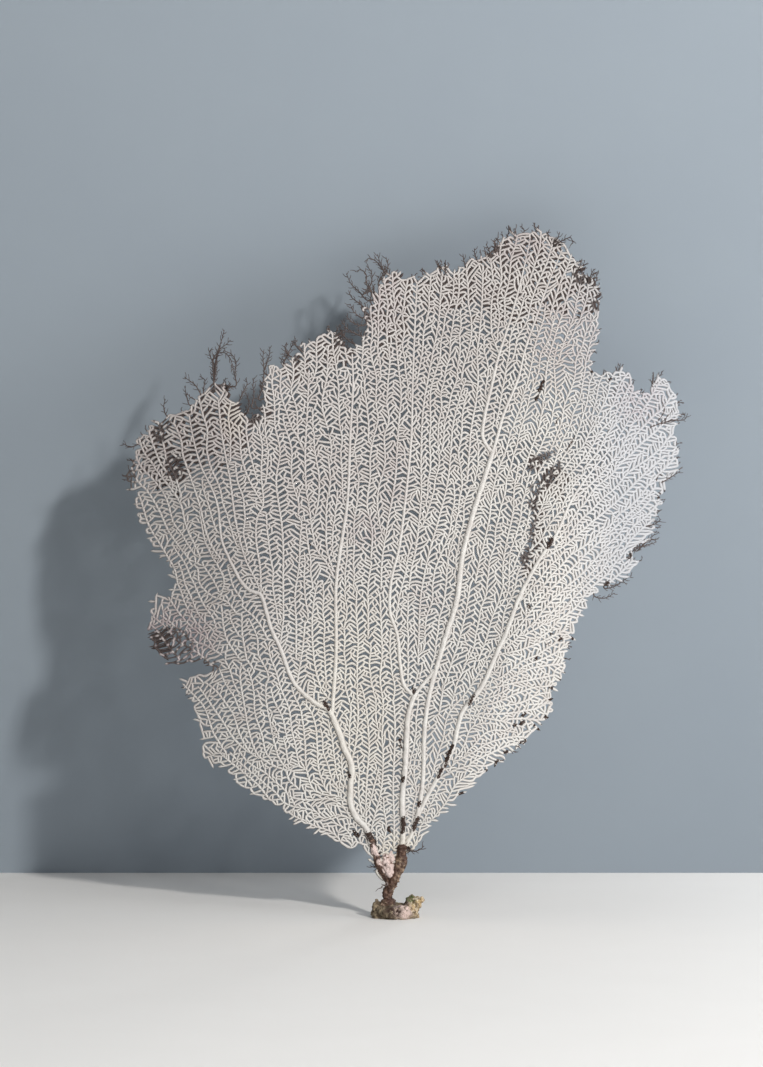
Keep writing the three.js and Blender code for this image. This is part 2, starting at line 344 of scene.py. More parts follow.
# Trunk and its two forks: the thick foot of the stem, grown on from the holdfast. It is bare grooved horn,
# and only scraps of tan and pink rind are left on it.
TRUNK_LIMBS = {
    "trunk": {"radii": (2.9, 3.0, 3.9), "path": [
        (387, 905), (387, 901), (387.5, 894), (390, 887), (392.5, 879)]},
    "trunk_fork_left": {"radii": (2.7, 1.9), "path": [(391, 884), (385, 875), (378, 862), (371, 840)]},
    "trunk_fork_right": {"radii": (3.3, 3.3), "path": [(390, 885), (397, 873), (401, 862), (402, 846)]},
}

# Scraps of rind on the bare foot: column, row and reach in the picture, seen from the front
PINK_SCRAPS = [(388, 869, 8), (376, 850, 9), (381, 862, 6), (386, 884, 3)]
TAN_SCRAPS = [(398, 862, 7), (401, 878, 8), (395, 889, 5), (403, 868, 6)]


def smooth_path(points, step):
    """Places evenly spaced along a smooth curve through the points, all in picture units"""
    p = np.array(points, float)
    p = np.vstack([2 * p[0] - p[1], p, 2 * p[-1] - p[-2]])
    pieces = []
    for a, b, c, d in zip(p, p[1:], p[2:], p[3:]):
        t0 = 0.0
        t1 = t0 + np.hypot(*(b - a)) ** 0.5
        t2 = t1 + np.hypot(*(c - b)) ** 0.5
        t3 = t2 + np.hypot(*(d - c)) ** 0.5
        t = np.linspace(t1, t2, max(2, int(np.hypot(*(c - b)) * 2)), endpoint=False)[:, None]
        ab = (t1 - t) / (t1 - t0) * a + (t - t0) / (t1 - t0) * b
        bc = (t2 - t) / (t2 - t1) * b + (t - t1) / (t2 - t1) * c
        cd = (t3 - t) / (t3 - t2) * c + (t - t2) / (t3 - t2) * d
        abc = (t2 - t) / (t2 - t0) * ab + (t - t0) / (t2 - t0) * bc
        bcd = (t3 - t) / (t3 - t1) * bc + (t - t1) / (t3 - t1) * cd
        pieces.append((t2 - t) / (t2 - t1) * abc + (t - t1) / (t2 - t1) * bcd)
    curve = np.vstack(pieces + [p[-2][None]])
    travelled = np.concatenate([[0], np.cumsum(np.hypot(*np.diff(curve, axis=0).T))])
    places = np.linspace(0, travelled[-1], max(2, round(travelled[-1] / step) + 1))
    return np.column_stack([np.interp(places, travelled, curve[:, k]) for k in (0, 1)])


def limb_mesh(path, radii, sides, step, grooves, bumps):
    """A tapering limb on the fan's surface, with grooves along it and bumps, closed at both ends"""
    places = smooth_path(path, step)
    count = len(places)
    centres = on_sheet(places[:, 0], places[:, 1])
    facing = sheet_facing(places[:, 0], places[:, 1])
    along = np.gradient(centres, axis=0)
    along /= np.linalg.norm(along, axis=1, keepdims=True)
    side = np.cross(along, facing)
    side /= np.linalg.norm(side, axis=1, keepdims=True)
    front = np.cross(side, along)
    radius = np.interp(np.linspace(0, len(radii) - 1, count), np.arange(len(radii)), radii) * MM
    rings = []
    for k in range(count):
        for s in range(sides):
            turn = 2 * math.pi * s / sides
            spoke = side[k] * math.cos(turn) + front[k] * math.sin(turn)
            at = Vector(centres[k] + spoke * radius[k]) / MM
            swell = 1 + grooves * math.sin(turn * 7 + 0.13 * k + 2 * noise.noise(at / 6))
            swell += sum(high * noise.noise(at / size) for size, high in bumps)
            rings.append(centres[k] + spoke * radius[k] * swell)
    ends = [centres[0] - along[0] * radius[0] * 0.5, centres[-1] + along[-1] * radius[-1] * 0.8]
    points = np.array(rings + ends)
    s = np.arange(sides)
    after = (s + 1) % sides
    quads = np.concatenate([
        np.stack([k * sides + s, k * sides + after, (k + 1) * sides + after, (k + 1) * sides + s], axis=1)
        for k in range(count - 1)])
    foot, tip = count * sides, count * sides + 1
    last_ring = (count - 1) * sides
    caps = np.concatenate([np.stack([np.full(sides, foot), after, s], axis=1),
                           np.stack([np.full(sides, tip), last_ring + s, last_ring + after], axis=1)])
    return points, (quads, caps), np.repeat(places, sides, axis=0)


def seen_at(points):
    """The columns and rows at which points in metres are seen"""
    spread = PIXEL * (1 + points[:, 1] / VIEW_DISTANCE)
    return VIEW_COLUMN + (points[:, 0] - eye_x) / spread, VIEW_ROW - (points[:, 2] - eye_z) / spread


def scraps(points, spots):
    """1 at each of these spots, falling to 0 at its reach"""
    columns, rows = seen_at(points)
    cover = np.zeros(len(points))
    for column, row, reach in spots:
        cover = np.maximum(cover, np.clip(1.6 - 1.6 * np.hypot(columns - column, rows - row) / reach, 0, 1))
    return cover


# Rind crust: a rough lump of pinkish rind that is still stuck in the crotch between the two forks, where
# nothing has rubbed it off. Its lumps are in mm from the middle of the fan's foot.
CRUST_LUMPS = [
    {"centre": (-6.0, -1.6, 31.0), "radii": (3.4, 2.6, 6.0), "bumps": 0.16, "phase": 5},
    {"centre": (-8.2, -1.3, 37.4), "radii": (2.2, 1.5, 4.2), "bumps": 0.16, "phase": 8},
    {"centre": (-4.2, -1.3, 38.4), "radii": (1.8, 1.3, 4.6), "bumps": 0.16, "phase": 10},
]
crust_points, crust_normals, crust_faces = fused("crust_skin", CRUST_LUMPS, 0.35)
crust_points = rumple(crust_points, crust_normals, [(2.4, 0.9), (0.9, 0.5)])
crust = make_piece("rind_crust_on_forks", crust_points * MM, crust_faces, horn,
                   {"pink_rind": np.full(len(crust_points), 1.0)})
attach(crust, "root")

for name, limb in TRUNK_LIMBS.items():
    points, faces = limb_mesh(limb["path"], limb["radii"], 48, 0.6, 0.06,
                              [(4.0, 0.4), (1.6, 0.3), (0.7, 0.16)])[:2]
    piece = make_piece("horn_" + name, points, faces, horn, {
        "pink_rind": scraps(points, PINK_SCRAPS), "tan_rind": scraps(points, TAN_SCRAPS)})
    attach(piece, "root")
    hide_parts(name)

# Ribs: the main branches that carry the net. Horn inside, and outside the chalky rind that the living
# polyps left, a warm white crust of limy grains. In a few places it has flaked off down to the horn.
RIBS = {
    "rib_left_stem": {"radii": (2.1, 2.3, 2.2), "path": [
        (371, 843), (366, 828), (357, 818), (351, 806), (350.5, 789), (352, 768), (350, 760), (344, 748),
        (341, 737), (332, 715)]},
    "rib_left_outer": {"radii": (1.8, 1.5, 1.5, 1.1, 0.8, 0.6), "path": [
        (333, 718), (328, 709), (317, 704), (295, 684), (281, 650), (271, 628), (263, 600), (260, 594),
        (250, 590.5), (241, 581), (234, 568), (228, 556), (222, 541), (220, 526), (218, 507), (213, 491),
        (201, 466), (193, 437), (189, 414)]},
    "rib_left_inner": {"radii": (1.5, 1.3, 1.3, 1, 0.6), "path": [
        (332, 718), (333, 700), (336, 653), (336, 584), (341, 545), (347, 505), (350, 440), (353, 383),
        (352, 354)]},
    "rib_centre_stem": {"radii": (2, 2.1, 1.9), "path": [
        (402, 850), (403, 832), (402.5, 795), (405, 770), (406.5, 742), (408.5, 714), (415, 694)]},
    "rib_centre_left": {"radii": (1.4, 1.1, 1, 0.8, 0.6), "path": [
        (415, 697), (404, 685), (400, 662), (397, 634), (390, 612), (391, 582), (399, 548), (405.5, 498),
        (411, 440), (413, 370), (416, 300), (417, 284)]},
    "rib_centre_link": {"radii": (1.3, 1.3), "path": [(414, 696), (425, 682), (436, 669)]},
    "rib_main_stem": {"radii": (1.7, 1.6, 1.7, 2, 1.9, 1.8), "path": [
        (402, 851), (411, 835), (418, 812), (423, 780), (424, 742), (427, 708), (435, 673), (446, 636),
        (456.5, 602), (462, 559), (470, 525), (485, 476), (493, 451)]},
    "rib_main_left": {"radii": (1.4, 1.3, 1, 0.8, 0.5), "path": [
        (493, 454), (483, 438), (484, 420), (493, 380), (498, 358), (511, 317), (521, 280), (530, 240)]},
    "rib_main_right": {"radii": (1.3, 1, 0.8, 0.5), "path": [
        (492, 454), (497, 438), (504, 413), (518, 379), (525, 350), (536, 318), (548, 284), (562, 250)]},
    "rib_right": {"radii": (1.5, 1.7, 1.8, 1.6, 1.2, 0.8, 0.6), "path": [
        (417, 818), (428, 795), (441, 772), (453, 748), (457, 731), (463, 711), (481, 688), (497, 653),
        (508, 628), (519, 598), (538, 562), (557, 533), (571, 501), (590, 473), (614, 443), (629, 419),
        (640, 396)]},
}

# Places on the ribs and veins where the rind is gone: column, row and radius in picture units
BARE_SPOTS = [
    (550, 542, 3.6), (549, 546, 2.4), (452, 747, 2.4), (449, 753, 3), (447, 759, 2.6), (446, 765, 2.2),
    (441, 771, 2.4), (439, 776, 2), (473, 697, 2.4), (470, 702, 2.6), (403, 779, 2.6), (400, 740, 1.8),
    (400.5, 746, 1.8), (403, 820, 2.8), (403.5, 825, 3), (403, 830, 2.8), (417, 820, 2.6), (415, 825, 3),
    (414, 829, 2), (419, 804, 2.6), (349, 775, 2.4), (325, 704, 2.6), (328, 708, 2.4), (389, 830, 2.6),
    (371, 838, 5), (414, 691, 2.2), (356, 834, 3), (579, 315, 2.4), (402, 852, 5), (540, 388, 3),
    (537, 398, 2.6), (543, 383, 2), (530, 606, 2), (560, 639, 2), (573, 637, 2), (569, 647, 2),
    (566, 658, 2), (567, 671, 2), (561, 680, 2), (552, 687, 2), (551, 699, 2), (547, 717, 2),
    (537, 730, 2.4), (524, 741, 2), (519, 744, 2), (506, 752, 2), (496, 762, 2), (493, 768, 2),
    (487, 771, 2), (461, 794, 2.4), (514, 725, 2), (522, 723, 2.4), (533, 726, 1.8), (524, 715, 1.8),
    (536, 658, 1.8), (546, 645, 1.8), (552, 633, 1.8), (679, 471, 2), (666, 490, 2), (659, 496, 2),
    (670, 510, 2), (657, 517, 2), (629, 556, 2.6), (606, 584, 2.8), (410, 848, 2.4), (416, 849, 2.4),
    (421, 846, 2.6), (378, 866, 3), (384, 868, 2.6), (379, 855, 2.4), (310, 545, 1.6), (457, 260, 2),
    (549, 234, 2), (533, 228, 2.4), (440, 268, 2), (592, 371, 2.2), (610, 379, 2),
]

# The fork of the trunk, which the ribs and their bare spots point away from
FORK_COLUMN, FORK_ROW = 392, 868

# Broad stains in the rind: column, row, reach across, reach along and strength
MAUVE_STAINS = [
    (200, 440, 55, 45, 0.25), (155, 455, 30, 40, 0.25), (378, 300, 28, 38, 0.3), (570, 330, 45, 60, 0.3),
    (175, 640, 48, 42, 0.6), (430, 596, 22, 24, 0.25), (365, 532, 20, 18, 0.3), (222, 375, 24, 30, 0.3),
    (505, 245, 60, 22, 0.3), (640, 400, 30, 30, 0.3), (395, 480, 18, 40, 0.2), (250, 400, 14, 24, 0.3),
]
CREAM_STAINS = [(233, 420, 14, 22, 0.2), (400, 860, 30, 30, 0.3), (350, 700, 60, 120, 0.15)]


def bareness(columns, rows):
    """How far the rind is gone at each place, 0 to 1, in spots that are long the way the ribs run"""
    gone = np.zeros(len(columns))
    for column, row, radius in BARE_SPOTS:
        away = math.hypot(column - FORK_COLUMN, row - FORK_ROW)
        across, down = (column - FORK_COLUMN) / away, (row - FORK_ROW) / away
        along = (columns - column) * across + (rows - row) * down
        beside = (rows - row) * across - (columns - column) * down
        close = 1.5 - np.hypot(along / 1.5, beside / 0.78) / radius
        gone = np.maximum(gone, np.clip(close, 0, 1))
    return gone


def stained(columns, rows, stains):
    """How strong these stains are at each place, 0 to 1"""
    tint = np.zeros(len(columns))
    for column, row, across, along, strength in stains:
        reach = ((columns - column) / across) ** 2 + ((rows - row) / along) ** 2
        tint = np.maximum(tint, strength * np.clip(1.2 - reach, 0, 1))
    return tint


def rind_marks(columns, rows):
    """The rind's marks at each place: worn or stained, with painted cool light on the right and painted shade
    towards the upper left
    """
    # Painted light: a cool bluish tint over the right lobe, where the light falls strongly
    right = np.clip((columns - 560) / 60, 0, 1)
    # Painted shade: the rind is painted darker towards the top and the left
    painted_shade_upper_left = 0.3 * np.clip(1.3 - (rows - 180) / 200 - (columns - 520) / 160, 0, 1)
    return {"bare": bareness(columns, rows), "mauve": stained(columns, rows, MAUVE_STAINS),
            "cream": stained(columns, rows, CREAM_STAINS), "painted_cool_light_right": right, "painted_shade_upper_left": painted_shade_upper_left}


def chalky_rind():
    """Dried rind: limy grains of about 0.3 mm in a matt off-white crust, stained mauve and cream in places.
    Its flanks are painted dark as shade, it is painted darker towards the upper left as shade and bluish on
    the right as cool light, and where it is stripped or worn away the dark horn under it shows."""
    rind = new_material("chalky_gorgonian_rind")
    grit = (0.35, 3.0, 0.55)
    layered_finish(rind, "c8c4c0", [
        {"colour": "d0ceca", "lumps": (9.0, 3.0, 0.55), "shows": (0.35, 0.65)},
        # Painted light: a cool bluish tint on the right lobe
        {"colour": "b9babd", "mark": "painted_cool_light_right"},
        # Painted shade, darker towards the top and the left
        {"colour": "8b7f81", "mark": "painted_shade_upper_left"},
        {"colour": "d8cfb7", "mark": "cream"},
        {"colour": "937f86", "mark": "mauve", "lumps": (2.5, 4.0, 0.55), "shows": (0.3, 0.62)},
        {"colour": "aba297", "lumps": grit, "shows": (0.42, 0.2)},
        # Painted shade on the flanks of the strands and the sides of the ribs
        {"colour": "4f4844", "mark": "painted_flank_shade"},
        {"colour": "453b39", "mark": "stripped"},
        {"colour": "30211a", "mark": "bare", "lumps": (0.9, 4.0, 0.55), "shows": (0.32, 0.6), "least": 0.36,
         "edge": (0.3, 0.42)},
    ], 0.88, grit, 0.12)
    return rind


RIB_SIDES = 18

rind = chalky_rind()
for name, limb in RIBS.items():
    points, faces = limb_mesh(limb["path"], limb["radii"], RIB_SIDES, 1.2, 0.035,
                              [(3.0, 0.22), (1.1, 0.18)])[:2]
    marks = rind_marks(*seen_at(points))
    # Painted shade on each rib's two sides, where its surface turns sideways
    sideways = np.abs(np.cos(2 * math.pi * np.arange(len(points) - 2) / RIB_SIDES))
    marks["painted_flank_shade"] = np.append(np.clip((sideways - 0.7) / 0.3, 0, 1) * 0.8, [0, 0])
    piece = make_piece("rind_" + name, points, faces, rind, marks)
    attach(piece, "root")
    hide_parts(name)

# The net: fine veins run up between the ribs, and barbs grow out of their sides at a slant and join where
# they meet, all thin horn under the same rind. It is grown here as the animal grows it, on a map of the
# picture: veins first, then all barbs at once, a step at a time, each stopping at the strand that it meets.
OUTLINE = [
    (387, 884), (380, 877), (374, 868), (366, 850), (362, 843), (352, 848), (345, 847), (330, 840),
    (318, 832), (305, 825), (296, 824), (283, 810), (267, 803), (250, 793), (238, 786), (228, 770),
    (212, 763), (202, 755), (202, 740), (199, 724), (193, 709), (189, 694), (181, 684), (186, 676),
    (200, 674), (214, 668), (221, 660), (205, 662), (185, 664), (165, 660), (152, 648), (148, 628),
    (150, 606), (154, 592), (166, 596), (172, 591), (175, 583), (169, 566), (162, 556), (154, 549),
    (149, 540), (147, 531), (141, 524), (137, 515), (134, 500), (136, 491), (128, 487), (125, 481),
    (129, 468), (136, 452), (136, 439), (146, 432), (155, 420), (167, 413), (178, 413), (190, 407),
    (199, 393), (206, 384), (215, 381), (224, 384), (229, 397), (238, 407), (247, 418), (261, 407),
    (263, 391), (265, 377), (270, 361), (279, 370), (288, 361), (295, 347), (307, 342), (320, 335),
    (330, 331), (339, 338), (348, 349), (359, 342), (364, 329), (362, 310), (371, 303), (378, 287),
    (382, 278), (394, 271), (405, 278), (421, 278), (431, 271), (442, 267), (458, 268), (472, 258),
    (486, 256), (497, 244), (506, 235), (523, 232), (539, 230), (553, 235), (567, 244), (576, 260),
    (581, 272), (592, 276), (599, 288), (601, 304), (599, 323), (597, 339), (592, 357), (594, 371),
    (601, 374), (613, 371), (624, 367), (631, 376), (638, 394), (648, 392), (655, 378), (666, 378),
    (675, 392), (678, 408), (675, 431), (678, 455), (678, 473), (666, 482), (662, 501), (656, 515),
    (653, 533), (631, 551), (636, 566), (625, 579), (605, 587), (587, 599), (580, 615), (572, 633),
    (567, 653), (564, 673), (554, 691), (551, 712), (536, 730), (526, 742), (508, 750), (495, 765),
    (478, 778), (460, 796), (447, 809), (434, 821), (426, 834), (421, 847), (411, 849), (405, 858),
    (397, 872),
]

# Long worn tears between the middle and the right lobe, where only thin bare horn spans the gap: columns,
# rows and half widths along each one
TEARS = [
    [(529, 468, 2.5), (535, 461, 3), (545, 457, 3), (553, 453, 2)],
    [(534, 489, 3), (541, 482, 4), (549, 478, 4), (556, 470, 3.5), (559, 463, 2)],
    [(538, 494, 2.5), (532, 503, 3), (535, 512, 2), (534, 520, 2), (532, 530, 1.8), (531, 540, 2),
     (528, 549, 2.2), (523, 561, 3.5), (527, 566, 2)],
    [(528, 549, 1.5), (537, 548, 1.5)],
]

# The veins that stand out in the picture, foot first
VEINS = [
    [(261, 592), (260, 568), (256, 540), (257, 518), (263, 505), (261, 475), (262, 445), (258, 425)],
    [(260, 590), (253, 575), (246, 561), (240, 541), (235, 518), (230, 480), (222, 436), (218, 398)],
    [(280, 645), (283, 620), (283, 585), (283, 545), (281, 520), (278, 500), (276, 480), (280, 455)],
    [(296, 660), (296, 625), (295, 595), (299, 565), (300, 540), (302, 515)],
    [(334, 578), (326, 562), (317, 550), (312, 530), (309, 508), (306, 488), (305, 458), (308, 395),
     (309, 370)],
    [(333, 570), (327, 551), (326, 525), (327, 500), (330, 484), (328, 455)],
    [(304, 452), (298, 438), (292, 428), (287, 414), (282, 399), (280, 387), (281, 372)],
    [(328, 430), (322, 405), (327, 375), (328, 345)],
    [(371, 560), (372, 530), (367, 505), (370, 477), (370, 458), (373, 440), (378, 420)],
    [(368, 640), (368, 610), (368, 585), (372, 560)],
    [(381, 590), (382, 560), (388, 522), (395, 480), (397, 450), (399, 420), (401, 395), (398, 364),
     (396, 340)],
    [(418, 666), (419, 630), (421, 594), (430, 550), (437, 525), (448, 480), (453, 425), (459, 400),
     (466, 378)],
    [(409, 590), (411, 570), (415, 553), (421, 498), (421, 465), (423, 410), (432, 357), (438, 325),
     (442, 272)],
    [(467, 482), (469, 455), (471, 430), (476, 400), (478, 377), (477, 355), (480, 328), (482, 300),
     (483, 265)],
    [(498, 352), (492, 335), (491, 315), (492, 298), (496, 280)],
    [(475, 584), (479, 563), (484, 543), (489, 520), (492, 495), (498, 470), (506, 450), (511, 430)],
    [(522, 478), (530, 452), (538, 430), (544, 400), (547, 365), (556, 333), (564, 308), (575, 268)],
    [(503, 588), (503, 565), (507, 540), (513, 512), (514, 490), (519, 462)],
    [(477, 662), (485, 643), (491, 621), (499, 600), (507, 575)],
    [(439, 715), (443, 690), (451, 665), (459, 640), (466, 610), (470, 585)],
    [(571, 503), (583, 491), (595, 480), (606, 468), (618, 453), (626, 438), (634, 420)],
    [(500, 648), (520, 625), (540, 600), (565, 575), (590, 550), (612, 530), (635, 508), (655, 488)],
    [(497, 655), (520, 650), (545, 640), (568, 628)],
    [(481, 690), (505, 685), (530, 680), (555, 675)],
    [(463, 714), (485, 718), (505, 722), (525, 728)],
    [(540, 560), (565, 545), (592, 522), (618, 500), (640, 478), (665, 455)],
    [(438, 779), (455, 770), (470, 766), (485, 766)],
    [(595, 470), (612, 462), (632, 450), (650, 435), (668, 418)],
    [(254, 670), (247, 659), (244, 645), (242, 630), (242, 612)],
    [(241, 661), (234, 651), (228, 642), (224, 630), (222, 612)],
    [(268, 640), (262, 628), (255, 618), (246, 610), (240, 604)],
    [(237, 614), (227, 602), (212, 596), (200, 584), (198, 570)],
    [(214, 631), (206, 623), (198, 613), (191, 597), (185, 584), (182, 572), (178, 562)],
    [(222, 655), (205, 645), (190, 640), (182, 632), (170, 622), (160, 615)],
    [(220, 598), (224, 580), (212, 556), (205, 541), (202, 525), (199, 510)],
    [(222, 560), (214, 550), (207, 535), (199, 503), (188, 470), (183, 456), (181, 440), (175, 425)],
    [(200, 557), (195, 545), (189, 533), (185, 522), (181, 505), (172, 490), (160, 475), (150, 460)],
    [(190, 560), (178, 545), (168, 530), (160, 512), (152, 498), (145, 488)],
    [(262, 503), (251, 484), (245, 470), (241, 455), (240, 440), (238, 425)],
    [(349, 804), (340, 797), (323, 794), (313, 789), (308.5, 778), (306, 766), (305, 745), (303, 724)],
    [(340, 797), (329, 793), (323, 783), (318.5, 768), (317, 745), (316, 728)],
    [(306, 770), (296, 765), (288, 768), (280, 760), (274, 742), (270, 722), (266, 700), (266, 681)],
    [(300, 790), (289, 780), (286, 765), (285, 745), (288, 728), (285, 710)],
    [(352, 819), (341, 805), (330, 799), (312, 800), (298, 799), (288, 796)],
    [(352, 819), (338, 815), (325, 818), (312, 815)],
    [(279, 734), (271, 721), (267, 707), (265, 693)],
    [(286, 770), (272, 765), (258, 755), (250, 735), (244, 704), (240, 672), (244, 655)],
    [(262, 760), (250, 752), (240, 735), (233, 714), (225, 702), (215, 690), (205, 682)],
    [(248, 752), (235, 740), (223, 722), (212, 706), (204, 694), (198, 686)],
    [(270, 800), (258, 785), (243, 772), (228, 760), (215, 748)],
    [(369, 838), (375, 815), (381, 790), (383, 760), (382, 731), (383, 703), (380, 680), (382, 655),
     (380, 600)],
    [(352, 760), (356, 740), (358, 715), (357, 690), (357, 665), (358, 640), (356, 610), (357, 585)],
    [(366, 828), (366, 800), (367, 775), (369, 750), (368, 728), (366, 708), (362, 688)],
    [(394, 850), (394, 820), (393, 790), (394, 760), (395, 730), (394, 705)],
    [(330, 700), (322, 690), (316, 672), (313, 650), (312, 625), (314, 600), (318, 580)],
    [(297, 684), (300, 665), (303, 645), (305, 620)],
    [(430, 842), (442, 822), (455, 805), (468, 790)],
    [(441, 691), (448, 672), (452, 655)],
]

# The part of the picture that the net grows in, and the growth's sizes, in picture units
NET_LEFT, NET_TOP, NET_RIGHT, NET_BOTTOM = 110, 210, 700, 900
VEIN_SPACING = 10.9
SHORTEST_VEIN = 22
SPROUTS_APART = 7
BARB_PITCH = 3.7
BARB_SLANT = 41
LONGEST_BARB = 45
STEP = 1.0
REACH = 1.7
EDGE_ROUGHNESS = 3.4
dice = random.Random(11)

# Patches of the net that are stripped to thin horn: column, row, reach across and reach down. Scraps of
# rind are left where a noise is higher than RIND_FRAGMENTS.
STRIPPED = [
    (166, 645, 27, 19), (196, 666, 24, 8), (357, 318, 13, 26), (370, 280, 10, 14), (343, 338, 9, 9),
    (254, 412, 8, 12), (293, 352, 10, 10), (211, 384, 12, 7), (491, 248, 9, 8), (163, 424, 8, 6),
    (159, 432, 6, 12), (174, 467, 10, 13), (582, 276, 12, 8), (597, 302, 6, 8), (131, 470, 5, 22),
]
RIND_FRAGMENTS = 0.14
TEAR_SPREAD = 1.6


class PictureMap:
    """Values over the picture, kept at the points of a coarse grid and read anywhere between them"""

    def __init__(self, values, cell):
        self.values = values.tolist()
        self.cell = cell
        self.last_row, self.last_column = values.shape[0] - 2, values.shape[1] - 2

    def at(self, column, row):
        x, y = (column - NET_LEFT) / self.cell, (row - NET_TOP) / self.cell
        i, j = min(max(int(x), 0), self.last_column), min(max(int(y), 0), self.last_row)
        x, y = x - i, y - j
        upper, lower = [line[i] * (1 - x) + line[i + 1] * x for line in (self.values[j], self.values[j + 1])]
        return upper * (1 - y) + lower * y


def picture_grid(cell):
    return np.meshgrid(np.arange(NET_LEFT, NET_RIGHT + cell, cell, dtype=float),
                       np.arange(NET_TOP, NET_BOTTOM + cell, cell, dtype=float))


def wander(columns, rows, size, seed):
    """Smooth noise of this size over a grid of the picture, about -0.5 to 0.5"""
    values = [noise.noise((column / size, row / size, seed))
              for column, row in zip(columns.ravel(), rows.ravel())]
    return np.array(values).reshape(columns.shape)


def stripped(columns, rows):
    """1 where the net has lost its rind, 0 where it is whole; scraps of rind are left inside the patches"""
    gone = np.zeros(columns.shape)
    for column, row, across, down in STRIPPED:
        reach = ((columns - column) / across) ** 2 + ((rows - row) / down) ** 2
        gone = np.maximum(gone, np.clip((1.15 - reach) * 4, 0, 1))
    for tear in TEARS:
        for (ax, ay, wide), (bx, by, wide_after) in zip(tear, tear[1:]):
            dx, dy = bx - ax, by - ay
            share = np.clip(((columns - ax) * dx + (rows - ay) * dy) / (dx * dx + dy * dy), 0, 1)
            away = np.hypot(columns - ax - share * dx, rows - ay - share * dy)
            reach = TEAR_SPREAD * (wide + share * (wide_after - wide))
            gone = np.maximum(gone, np.clip(reach - away, 0, 1))
    gone[wander(columns, rows, 4.2, 8.0) > RIND_FRAGMENTS] = 0
    return gone


def distance_inside(cell):
    """How far inside the net's ragged outline each grid point lies, less than zero outside it"""
    columns, rows = picture_grid(cell)
    nearest = np.full(columns.shape, 1e9)
    inside = np.zeros(columns.shape, bool)
    for (ax, ay), (bx, by) in zip(OUTLINE, OUTLINE[1:] + OUTLINE[:1]):
        dx, dy = bx - ax, by - ay
        share = np.clip(((columns - ax) * dx + (rows - ay) * dy) / (dx * dx + dy * dy), 0, 1)
        nearest = np.minimum(nearest, np.hypot(columns - ax - share * dx, rows - ay - share * dy))
        if dy:
            inside ^= ((ay > rows) != (by > rows)) & (columns < dx * (rows - ay) / dy + ax)
    return np.where(inside, nearest, -nearest) + EDGE_ROUGHNESS * wander(columns, rows, 6.5, 4.1)


def vein_run(cell):
    """The direction that the veins take at each grid point, drawn from the ribs and veins around it"""
    columns, rows = picture_grid(cell)
    run_across, run_down = np.zeros(columns.shape), np.zeros(columns.shape)
    for path in [rib["path"] for rib in RIBS.values()] + VEINS:
        places = smooth_path(path, 8.0)
        heading = np.gradient(places, axis=0)
        heading /= np.hypot(*heading.T)[:, None]
        for (column, row), (across, down) in zip(places, heading):
            weight = ((columns - column) ** 2 + (rows - row) ** 2 + 60) ** -1.6
            run_across += weight * across
            run_down += weight * down
    return np.arctan2(run_down, run_across) + 0.5 * wander(columns, rows, 17, 9.3)


class Net:
    """The growing net: knots, the links between them, and a fine map of the knots that lie in each cell"""
    CELL = 0.5

    def __init__(self):
        self.column, self.row, self.strand, self.half_width, self.links = [], [], [], [], []
        self.map = np.full((int((NET_BOTTOM - NET_TOP) / self.CELL) + 2,
                            int((NET_RIGHT - NET_LEFT) / self.CELL) + 2), -1, np.int32)

    def cell(self, column, row):
        return int((row - NET_TOP) / self.CELL), int((column - NET_LEFT) / self.CELL)

    def add(self, column, row, strand, half_width, after=None):
        knot = len(self.column)
        self.column.append(column)
        self.row.append(row)
        self.strand.append(strand)
        self.half_width.append(half_width)
        self.map[self.cell(column, row)] = knot
        if after is not None:
            self.join(after, knot)
        return knot

    def join(self, first, second):
        self.links.append((first, second))
        ax, ay, bx, by = self.column[first], self.row[first], self.column[second], self.row[second]
        count = int(math.hypot(bx - ax, by - ay) / 0.4) + 1
        for k in range(1, count):
            cell = self.cell(ax + (bx - ax) * k / count, ay + (by - ay) * k / count)
            if self.map[cell] < 0:
                self.map[cell] = first if 2 * k < count else second

    def near(self, column, row, reach):
        """The knots within reach, nearest first"""
        j, i = self.cell(column, row)
        r = int(reach / self.CELL) + 1
        block = self.map[max(j - r, 0):j + r + 1, max(i - r, 0):i + r + 1]
        found = {int(k) for k in block[block >= 0]}
        away = sorted((math.hypot(self.column[k] - column, self.row[k] - row), k) for k in found)
        return [k for distance, k in away if distance <= reach]


net = Net()
strands = []
margin = PictureMap(distance_inside(2.0), 2.0)
run = vein_run(5.0)
run_across, run_down = PictureMap(np.cos(run), 5.0), PictureMap(np.sin(run), 5.0)


def run_at(column, row):
    across, down = run_across.at(column, row), run_down.at(column, row)
    length = math.hypot(across, down) + 1e-9
    return across / length, down / length


def lay(path, foot_width, tip_width, edge, after=None):
    """Lays a strand along a path until it comes within this distance of the net's edge"""
    strand, knots = len(strands), []
    for k, (column, row) in enumerate(path):
        if k > 3 and margin.at(column, row) < edge:
            break
        width = foot_width + (tip_width - foot_width) * k / len(path)
        after = net.add(column, row, strand, width, after)
        knots.append(after)
    strands.append(knots)
    return knots


for rib in RIBS.values():
    lay(smooth_path(rib["path"], STEP), 1.4, 1.0, -3)
rib_strands = len(strands)
for path in VEINS:
    places = smooth_path(path, STEP)
    while len(places) > 5 and net.near(*places[0], 1.2):
        places = places[1:]
    met = next((k for k in range(8, len(places)) if net.near(*places[k], 1.3)), len(places))
    foot = net.near(*places[0], 7)
    knots = lay(places[:met], 1.2, 0.95, 0.5, foot[0] if foot else None)
    if met < len(places):
        net.join(knots[-1], net.near(*places[met], 1.3)[0])

# Fine veins fill the gaps beside each strand that is already there. The bins list the veins' knots by place.
BIN = 8
bins = {}


def remember(knots):
    for k in knots:
        bins.setdefault((int(net.column[k] // BIN), int(net.row[k] // BIN)), []).append(k)


